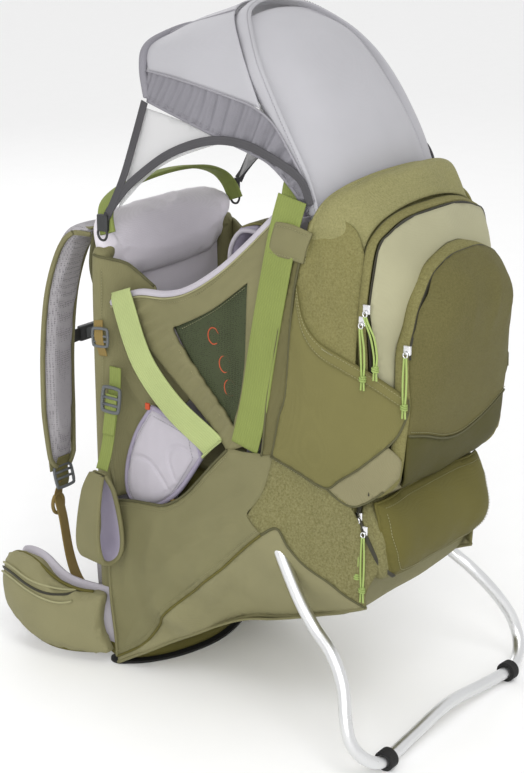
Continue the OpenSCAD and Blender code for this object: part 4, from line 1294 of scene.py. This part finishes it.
def sunshade():
    """The pole with its sleeve, the rear panel, the front canopy, the sheer sides and the binding straps."""
    hoop = [(125, 172, 623), (125, 172, 686), (125, 163, 714), (126, 151, 740), (127, 135, 767),
            (127, 115, 798), (124, 96, 825), (117, 76, 850), (100, 52, 876), (70, 22, 901), (36, 6, 911),
            (0, 0, 914)]
    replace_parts(tube("shade_pole", mirrored(hoop), 4, "pole", "shade_hoop"), "shade_hoop")
    line = curve(mirrored(hoop[1:]), 6)
    out = unit(np.c_[line[:, 0], line[:, 1] * 0 - 40, np.maximum(line[:, 2] - 760, 0)])
    across = unit(np.cross(np.gradient(line, axis=0), out))
    puff = [(-13, -1), (-12, 0.8), (-7, 1.8), (-4.6, 3.6), (0, 4.9), (4.6, 3.6), (7, 1.8), (12, 0.8),
            (13, -1), (6, -2.6), (0, -4.8), (-6, -2.6)]
    sweep("hoop_sleeve", line, [(a * 0.95, b) for a, b in puff], "shade", "shade_hoop", across)
    edges = [stitches(line + across * k + out * 3.4, out, "thread_grey") for k in (-8, 8)]
    joined("hoop_seams", edges, "shade_hoop")
    rows = [[(122, 180, 676), (66, 194, 684), (0, 198, 688)],
            [(125, 158, 734), (72, 176, 748), (0, 185, 755)],
            [(124, 115, 801), (68, 136, 818), (0, 143, 826)],
            [(107, 66, 867), (58, 80, 881), (0, 86, 884)], [(68, 24, 900), (36, 24, 905), (0, 22, 907)]]
    rows = [mirrored(r) for r in rows]
    back = cloth_grid("shade_rear", rows, "shade", "shade_back", 2, (9, 9), wave=2.0, wave_size=110, turn=-1)
    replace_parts(back, "shade_back")
    top = [[(131, 96, 806), (112, 52, 871), (62, 4, 908), (0, -10, 916)],
           [(132, 30, 820), (111, 0, 871), (60, -26, 899), (0, -36, 907)],
           [(130, -36, 830), (108, -54, 866), (60, -68, 886), (0, -74, 892)],
           [(125, -84, 834), (108, -100, 859), (60, -106, 870), (0, -110, 875)]]
    top = [mirrored(r) for r in top]
    hood = cloth_grid("shade_top", top, "shade", None, 2, (9, 7), wave=2.2, wave_size=80, turn=-1)
    low = [(130, 166, 690), (130, 140, 718), (132, 111, 742), (132, 81, 752), (132, 43, 762),
           (132, 4, 773), (132, -44, 787), (128, -84, 797)]
    high = [(129, 176, 704), (131, 146, 752), (131, 116, 790), (131.5, 84, 808), (132, 43, 817),
            (131.5, 4, 824), (130.5, -44, 831), (125, -86, 834)]
    frills = []
    for _, s in SIDES:
        a, b = np.array(flip(low, s), float), np.array(flip(high, s), float)
        rows = [a, a * 0.66 + b * 0.34, a * 0.33 + b * 0.67, b]
        # The valance's darker grey is painted shade under the canopy.
        frills.append(cloth_grid("valance", rows, "shade_dark", None, 2, (5, 20), shape=gathers, turn=-s))
        frills.append(piping(curve(flip(low, s), 6), 2.4, "shade_dark"))
        frills.append(piping(curve(flip(high, s), 6) + (s * 1.5, 0, 0), 1.5, "thread_grey"))
        frills.append(stitches(curve(flip(low, s), 6) + (s * 1.5, 0, 6), (s, 0, 0), "thread_grey"))
    seam = curve([r[2] for r in top], 8)
    for _, s in SIDES:
        frills.append(piping(seam * (s, 1, 1) + (0, 0, 1.6), 1.1, "thread_grey"))
    frill = joined("shade_valance", frills, None)
    for part in (hood, frill):
        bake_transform(part)
        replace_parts(part, "shade_canopy")
    bar = tube("front_bar", mirrored([(126, -86, 800), (124, -94, 836), (108, -101, 860), (60, -108, 871),
                                      (0, -112, 876)]), 5.5, "shade_dark", "shade_front_bar", n=8)
    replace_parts(bar, "shade_front_bar")
    for label, s in SIDES:
        net = panel("shade_net_" + label,
                    [[(-92, 788), (-44, 780), (6, 770), (48, 760)],
                     [(48, 760), (8, 748), (-50, 724), (-94, 694), (-140, 650)],
                     [(-140, 650), (-120, 700), (-92, 788)]],
                    sideways(lambda q: np.full(len(q), s * 127.0)), "sheer", "shade_mesh_sides", 1,
                    step=7, turn=s)
        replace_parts(net, "shade_mesh_sides")
        tape = [(-152, 640), (-146, 650), (-120, 680), (-94, 702), (-52, 731), (-11, 750), (29, 761),
                (67, 762), (101, 755), (157, 731), (174, 700)]
        arch = strap("shade_tape_" + label, [(s * 136, y, z) for y, z in tape], 11, 2, (0.0, 0.6, 1),
                     "tape", "shade_straps")
        prop = strap("shade_web_" + label,
                     flip([(132, -86, 796), (134, -103, 746), (136, -123, 692), (137, -148, 644)], s), 11,
                     2, (0, 1, 0.4), "tape", "shade_straps")
        clip = block("clip", (7, 18, 22), (s * 137, -157, 632), "plastic", 2)
        hook = ring_tube(about((s * 139, -157, 618), (0, 8, 9), np.linspace(0, 5.2, 6)), 1.6, "plastic")
        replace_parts(joined("shade_clip_" + label, [clip, hook], "shade_straps"), "shade_straps")
        for part in (arch, prop):
            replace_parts(part, "shade_straps")


def wearer(label, s):
    """One shoulder strap with its webbing, and one wing of the hip belt."""
    # Shoulder strap
    node = "shoulder_strap_" + label
    x = s * 85
    route = [(x, -206, 604), (x, -236, 602), (x, -262, 573), (x, -286, 510), (x, -298, 430),
             (x, -301, 350), (x, -299, 286), (x, -296, 248)]
    line = curve(route, 10)
    taper = varied(line, [0, 0.08, 0.75, 0.93, 1], [0.8, 1, 1, 0.8, 0.45])
    pad = sweep("strap_pad_" + label, line, pillow(31, 7), "spacer", None, (1, 0, 0), scale=taper)
    pad = grown(pad, cap=5, voxel=5)
    soft(pad, node, 0.7)
    edges = [sweep("edge", line + k * 29.5 * taper * (1, 0, 0), web_section(7, 5), "olive", None,
                   (0, 1, 0.3)) for k in (1, -1)]
    outward = unit(np.c_[line[:, 0] * 0, line[:, 1] + 150, line[:, 2] - 430])
    face = sweep("outer_cloth", line + outward * 7.5, web_section(44, 2.4), "olive", None, (1, 0, 0))
    joined("strap_trim_" + label, edges + [face], node)
    lower = "strap_buckles"
    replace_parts(ladder_lock("strap_lock_" + label, (x, -295, 232), 34, 30, 4.6, "grey_plastic", lower,
                            (1, 0, 0), (0, -0.25, 1)), lower)
    strap("strap_tail_" + label, [(x, -294, 262), (x, -299, 244), (x, -297, 226), (x, -300, 214)], 24, 2,
          (1, 0, 0), "olive_web", node)
    web = strap("lower_web_" + label,
                flip([(85, -297, 226), (85, -308, 200), (89, -296, 168), (99, -276, 120), (109, -252, 92),
                      (113, -226, 76)], s), 20, 2, (1, 0.2, 0), "tan", None)
    tab = ring_tube(about((s * 86, -308, 186), (11, 0, 15), np.linspace(0, 5.4, 7)), 2.8, "tan")
    web = joined("lower_webbing_" + label, [web, tab], None)
    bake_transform(web)
    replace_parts(web, "lower_strap_webbing")
    # Hip belt
    node = "hip_belt_" + label
    levels = [[(144, -152, 18), (152, -158, 64), (149, -154, 110)],
              [(170, -222, 12), (176, -224, 62), (168, -222, 118)],
              [(176, -266, 20), (182, -268, 76), (172, -266, 142)],
              [(172, -306, 38), (177, -310, 88), (168, -306, 142)],
              [(158, -330, 62), (162, -334, 92), (156, -330, 122)]]
    # The belt is in the lighter olive, painted light.
    wing = cloth_grid("belt_" + label, [flip(r, s) for r in levels], "olive_light", None, 20, (6, 6), turn=s)
    wing = grown(wing, cap=6, voxel=5)
    cloth_grid("belt_lining_" + label,
               [[(p[0] - s * 13, p[1] + 4, p[2] + 3) for p in flip(r, s)] for r in levels], "lilac", node,
               4, (5, 5), turn=s)
    lay = lambda points: curve(points, 8) * (s, 1, 1)
    pipes = [[(163, -196, 106), (176, -222, 104), (184, -262, 112), (182, -300, 122), (170, -326, 116)],
             [(169, -198, 92), (182, -224, 90), (191, -264, 98), (188, -302, 108), (174, -328, 104)]]
    tucks = [lay([(166, -190, 100), (175, -205, 60), (170, -205, 30)]),
             lay([(166, -196, 90), (184, -240, 60), (180, -246, 24)]),
             lay([(160, -184, 60), (176, -210, 48)])]
    gathers = [lay([(160, -186 - 3 * k, 18 + 3 * k), (172, -196 - 2 * k, 40 + 8 * k),
                    (174, -214 + 5 * k, 96)]) for k in range(4)]
    sewn(wing, tucks + gathers + [lay(p) for p in pipes], width=4, depth=3)
    pipes = [laid_on(wing, lay(p), 2) for p in pipes]
    zip_line = laid_on(wing, lay([(166, -197, 98), (180, -223, 97), (188.5, -263, 105), (186, -301, 115),
                                  (172, -327, 110)]), 1.6)
    edge = laid_on(wing, lay([(158, -174, 16), (178, -222, 10), (184, -266, 18), (180, -308, 36),
                              (164, -336, 60), (165, -342, 92), (160, -336, 124), (172, -308, 146),
                              (176, -266, 146), (172, -222, 122), (158, -176, 116)]), 0.4)
    soft(wing, node, 0.75)
    trims = [piping(p, 1.6, "pipe") for p in pipes]
    trims += [piping(edge, 2.4, "olive_dark"), zip_along("belt_zip", zip_line, (s, 0, 0), None, 4)]
    joined("belt_trim_" + label, trims, node)


def harness():
    """The back panel, lumbar pad, yoke, sternum strap and hip buckle."""
    node = "back_panel"
    plate = level(-186)
    loop = [[(-112, 70), (0, 66), (112, 70)], [(112, 70), (114, 300), (112, 575)],
            [(112, 575), (60, 588), (0, 590), (-60, 588), (-112, 575)],
            [(-112, 575), (-114, 300), (-112, 70)]]
    slab = grown(panel("back_mesh", loop, plate, "spacer", None, 9, crown=2, step=9, turn=1), cap=5, voxel=6)
    channels = [plate([(x, z) for z in range(110, 560, 8)]) + (0, -7, 0) for x in (-62, -20, 20, 62)]
    sewn(slab, channels, width=5, depth=3.5)
    soft(slab, node, 0.5)
    # The inner front is in the lighter lilac, painted light against the shade inside.
    panel("inner_front", scaled(loop, (0, 0), (1.15, 1)), lambda q: plate(q) + (0, 11, 0), "lining", node,
          4, step=12, turn=-1, wave=2, wave_size=80)
    rim = plate(outline_of(loop, 5))
    piping(closed(rim), 5, "olive", node, "back_edge")
    lumbar = sweep("lumbar", curve(mirrored([(112, -204, 118), (60, -211, 120), (0, -213, 120)]), 6),
                   pillow(43, 9), "spacer", None, (0, 0, 1))
    lumbar = grown(lumbar, cap=6, voxel=5)
    sewn(lumbar, [np.array([(x, -222, 120 + 22 * k) for x in range(-100, 101, 8)]) for k in (-1, 0, 1)],
         width=4, depth=3)
    soft(lumbar, "lumbar_pad", 0.7)
    loop = [[(-96, 508), (0, 500), (96, 508)], [(96, 508), (112, 560), (104, 606)],
            [(104, 606), (0, 612), (-104, 606)], [(-104, 606), (-112, 560), (-96, 508)]]
    yoke = panel("yoke", loop, level(-203), "olive", "shoulder_yoke", 7, crown=3, step=7, turn=1)
    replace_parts(yoke, "shoulder_yoke")
    rim = level(-203.5)(outline_of(loop, 4))
    joined("yoke_edge", [piping(closed(rim), 3.4, "pipe_dark"),
                         stitches(rim * (0.9, 1, 1) + (0, -6, 0), (0, -1, 0))], "shoulder_yoke")
    node = "sternum_strap"
    chest = [strap("chest", mirrored([(62, -304, 425), (51, -309, 425), (30, -316, 424), (0, -318, 424)]),
                   19, 2.2, (0, 0, 1), "dark_web", None),
             block("buckle", (40, 9, 22), (0, -318, 424), "plastic", 2.5),
             block("button", (18, 12, 14), (0, -318, 424), "grey_plastic", 2)]
    chest += [ladder_lock("slide", (s * 52, -309, 425), 20, 24, 3, "grey_plastic", None, (1, 0, 0),
                          (0, 0, 1)) for s in (1, -1)]
    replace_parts(joined("chest_strap", chest, node), node)
    for node, s in (("hip_buckle_socket", 1), ("hip_buckle_tongue", -1)):
        parts = [strap("web", flip([(146, -312, 114), (144, -312, 84), (143, -312, 58)], s), 24, 2.2,
                       (0, 1, 0), "dark_web", None)]
        if s > 0:
            parts += [block("shell", (10, 34, 38), (143, -312, 43), "plastic", 3),
                      block("window", (11, 10, 20), (143, -312, 42), "grey_plastic", 2)]
        else:
            parts += [block("shell", (8, 30, 22), (-143, -312, 51), "plastic", 2.5)]
            parts += [block("prong", (6, 5.5, 22), (-143, y, 31), "plastic", 1.6)
                      for y in (-322, -312, -302)]
        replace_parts(joined("hip_" + ("socket" if s > 0 else "tongue"), parts, node), node)


def child():
    """What holds the child: drool pad, back pad, seat, harness, wings and stirrups."""
    # Drool pad across the front, fullest in its middle
    ring = mirrored([(122, -160, 584), (116, -169, 587), (98, -177, 591), (50, -179, 593), (0, -179, 593)])
    line = curve(ring, 8)
    scale = varied(line, [0, 0.03, 0.09, 0.22, 0.4, 0.6, 0.78, 0.91, 0.97, 1],
                   [0.55, 0.85, 1.05, 1.25, 1.45, 1.45, 1.25, 1.05, 0.85, 0.55]) * (1, 0.85)
    # The drool pad is in the lighter lilac, painted light against the shade inside the cockpit.
    pad = grown(sweep("drool", line, pillow(37, 15, 22, 0.7), "lining", None, (0, -0.22, 1), scale=scale),
                cap=6, voxel=5)
    sewn(pad, [line + (0, 0, -24)], width=4, depth=2)
    soft(pad, "drool_pad", 0.8)
    # Back pad with channels, and the seat
    slope = rear(lambda q: 52 + (q[:, 1] - 344) * 0.19)
    loop = [[(-96, 332), (0, 326), (96, 332)], [(96, 332), (104, 420), (102, 560), (86, 612)],
            [(86, 612), (40, 632), (0, 634), (-40, 632), (-86, 612)],
            [(-86, 612), (-102, 560), (-104, 420), (-96, 332)]]
    back = grown(panel("child_back", loop, slope, "lilac", None, 12, crown=4, step=8, turn=-1), cap=7,
                 voxel=6)
    lines = [slope([(x, z) for x in range(-90, 91, 6)]) + (0, -10, 0) for z in (400, 470, 540)]
    sewn(back, lines, width=5, depth=4)
    soft(back, "child_back_pad", 0.7)
    rim = slope(outline_of(loop, 5))
    piping(closed(rim), 4, "lilac_dark", "child_back_pad", "child_back_edge")
    wide = [[(s * x, y, z) for s, x in ((1, 135), (1, 70), (1, 0), (-1, 70), (-1, 135))] for y,
            z in ((84, 400), (92, 470), (104, 550), (120, 620), (136, 672))]
    # This lining is in the lighter lilac, painted light against the cockpit's shade.
    cloth_grid("cockpit_lining", wide, "lining", "child_back_pad", 3, (5, 6), wave=2.5, wave_size=70, turn=1)
    seat = bag("seat_cushion", [(292, -84, 24, 60), (298, -88, 29, 82), (308, -89, 30, 90),
                                (318, -88, 28, 86), (323, -82, 22, 66)], "olive", None, power=4, sides=48)
    seat = grown(seat, cap=6, voxel=6)
    soft(seat, "child_seat", 0.7)
    # Harness
    for label, s in SIDES:
        route = curve([(s * 50, 46, 636), (s * 52, 20, 634), (s * 53, 4, 608), (s * 50, 4, 570),
                       (s * 42, 16, 510), (s * 28, 34, 458)], 8)
        pad = grown(sweep("chest_pad_" + label, route, pillow(21, 5, 18), "lilac_dark", None, (1, 0, 0)),
                    cap=5, voxel=5)
        soft(pad, "harness_pads", 0.6)
        edge = [piping(route + (k * 21, 0, 0), 3, "lilac") for k in (-1, 1)]
        edge.append(strap("loop", [(s * 52, 18, 638), (s * 50, 44, 646), (s * 47, 78, 632),
                                   (s * 45, 100, 604)], 34, 4, (1, 0, 0), "olive_web", None))
        edge.append(strap("web", [(s * 26, 40, 460), (s * 18, 36, 446), (s * 8, 34, 438)], 20, 2,
                          (1, 0, 0.3), "dark_web", None))
        joined("chest_trim_" + label, edge, "harness_pads")
    parts = [block("shell", (46, 10, 34), (0, 38, 436), "plastic", 3.5),
             block("button", (18, 13, 16), (0, 38, 436), "red", 2.5),
             strap("crotch", [(0, 38, 424), (0, 35, 380), (0, 28, 322)], 25, 2.4, (1, 0, 0), "dark_web",
                   None)]
    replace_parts(joined("child_buckle", parts, "harness_buckle"), "harness_buckle")
    for label, s in SIDES:
        wing_and_stirrup(label, s)


def wing_and_stirrup(label, s):
    """One side wing of the seat, and one foot stirrup with its strap."""
    node = "seat_wing_" + label
    plate = sideways(lambda q: s * (131 + 0.04 * (q[:, 0] + 60)))
    loop = [[(-84, 392), (-112, 352), (-130, 306), (-133, 268), (-122, 250), (-97, 246)],
            [(-97, 246), (-66, 262), (-36, 288), (2, 342)], [(2, 342), (-4, 360), (-14, 376), (-84, 392)]]
    wing = grown(panel("wing_" + label, loop, plate, "lilac", None, 7, crown=1.5, crown_run=14, step=6,
                       turn=s), cap=2.5, voxel=4, pressure=2)
    quilting = ([(-119, 318), (-88, 318), (-62, 296), (-52, 282)],
                [(-40, 300), (-52, 330), (-36, 350), (-8, 346)])
    sewn(wing, [plate(curve(line, 8)) + (s * 8, 0, 0) for line in quilting], width=3, depth=2.2)
    soft(wing, node, 0.5)
    rim = plate(outline_of(loop, 4)) + (s * 1, 0, 0)
    inner = plate(outline_of(scaled(loop, (-62, 316), (0.86, 0.9)), 4))
    tabs = [ring_tube(about((s * 132, -52, 262), (0, 12, 7), np.linspace(0, 5.4, 7)), 2.6, "tan"),
            block("tab", (3, 7, 9), (s * 136, -88, 394), "red", 1)]
    joined(
        "wing_trim_" + label, [piping(closed(rim), 3.4, "lilac_dark"),
                               stitches(inner + (s * 8.4, 0, 0), (s, 0, 0), "thread_grey")] + tabs, node)
    # Foot stirrup
    node = "stirrup_strap_" + label
    web = strap("web", flip([(142, -138, 440), (144, -138, 414), (150, -138, 386), (161, -139, 334),
                             (172, -140, 303)], s), 20, 2.2, (0, 1, 0), "lime", None)
    tail = strap("tail", flip([(151, -138, 404), (154, -138, 380), (160, -138, 350)], s), 20, 1.8,
                 (0, 1, 0), "lime", None)
    lock = ladder_lock("lock", (s * 152.5, -138, 397), 29, 32, 5, "grey_plastic", None, (0, 1, 0),
                       (s * 0.15, 0, -1))
    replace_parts(joined("stirrup_web_" + label, [web, tail, lock], node), node)
    node = "stirrup_" + label
    turn_sin, turn_cos = 0.139, 0.99
    across = unit((s * turn_sin, turn_cos, 0))
    middle = np.array((s * 179.5, -140, 232))
    half = [(3, 301), (13, 278), (20.5, 240), (22.5, 205), (16, 182), (0, 175)]
    line = curve([(s * (179.5 + turn_cos * x), -140 - turn_sin * x, z)
                  for x, z in half + [(-x, z) for x, z in half[4::-1]]], 9)
    inner = middle + (line - middle) * (0.83, 0.83, 0.93)
    wide = varied(line, [0, 0.1, 0.35, 0.65, 0.9, 1], [0.48, 0.72, 1, 1, 0.72, 0.48])
    outer = sweep("outer", line, web_section(46, 4), "olive", None, across, scale=wide)
    lining = sweep("lining", inner, web_section(43, 2.4), "lilac_dark", None, across, scale=wide)
    trim = [sweep("edge", (line + inner) / 2 + across * k * 22.6 * wide, circle(3.4, 8), "olive", None)
            for k in (1, -1)]
    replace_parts(joined("stirrup_loop_" + label, [outer, lining] + trim, node), node)


# ---------------------------------------------------------------- build

CLOTH.update(cloths())
camera()
studio()
cords()
frame_tubes()
for name, s in SIDES:
    cockpit(name, s)
    luggage(name, s)
    wearer(name, s)
compartments()
collar()
sunshade()
harness()
child()
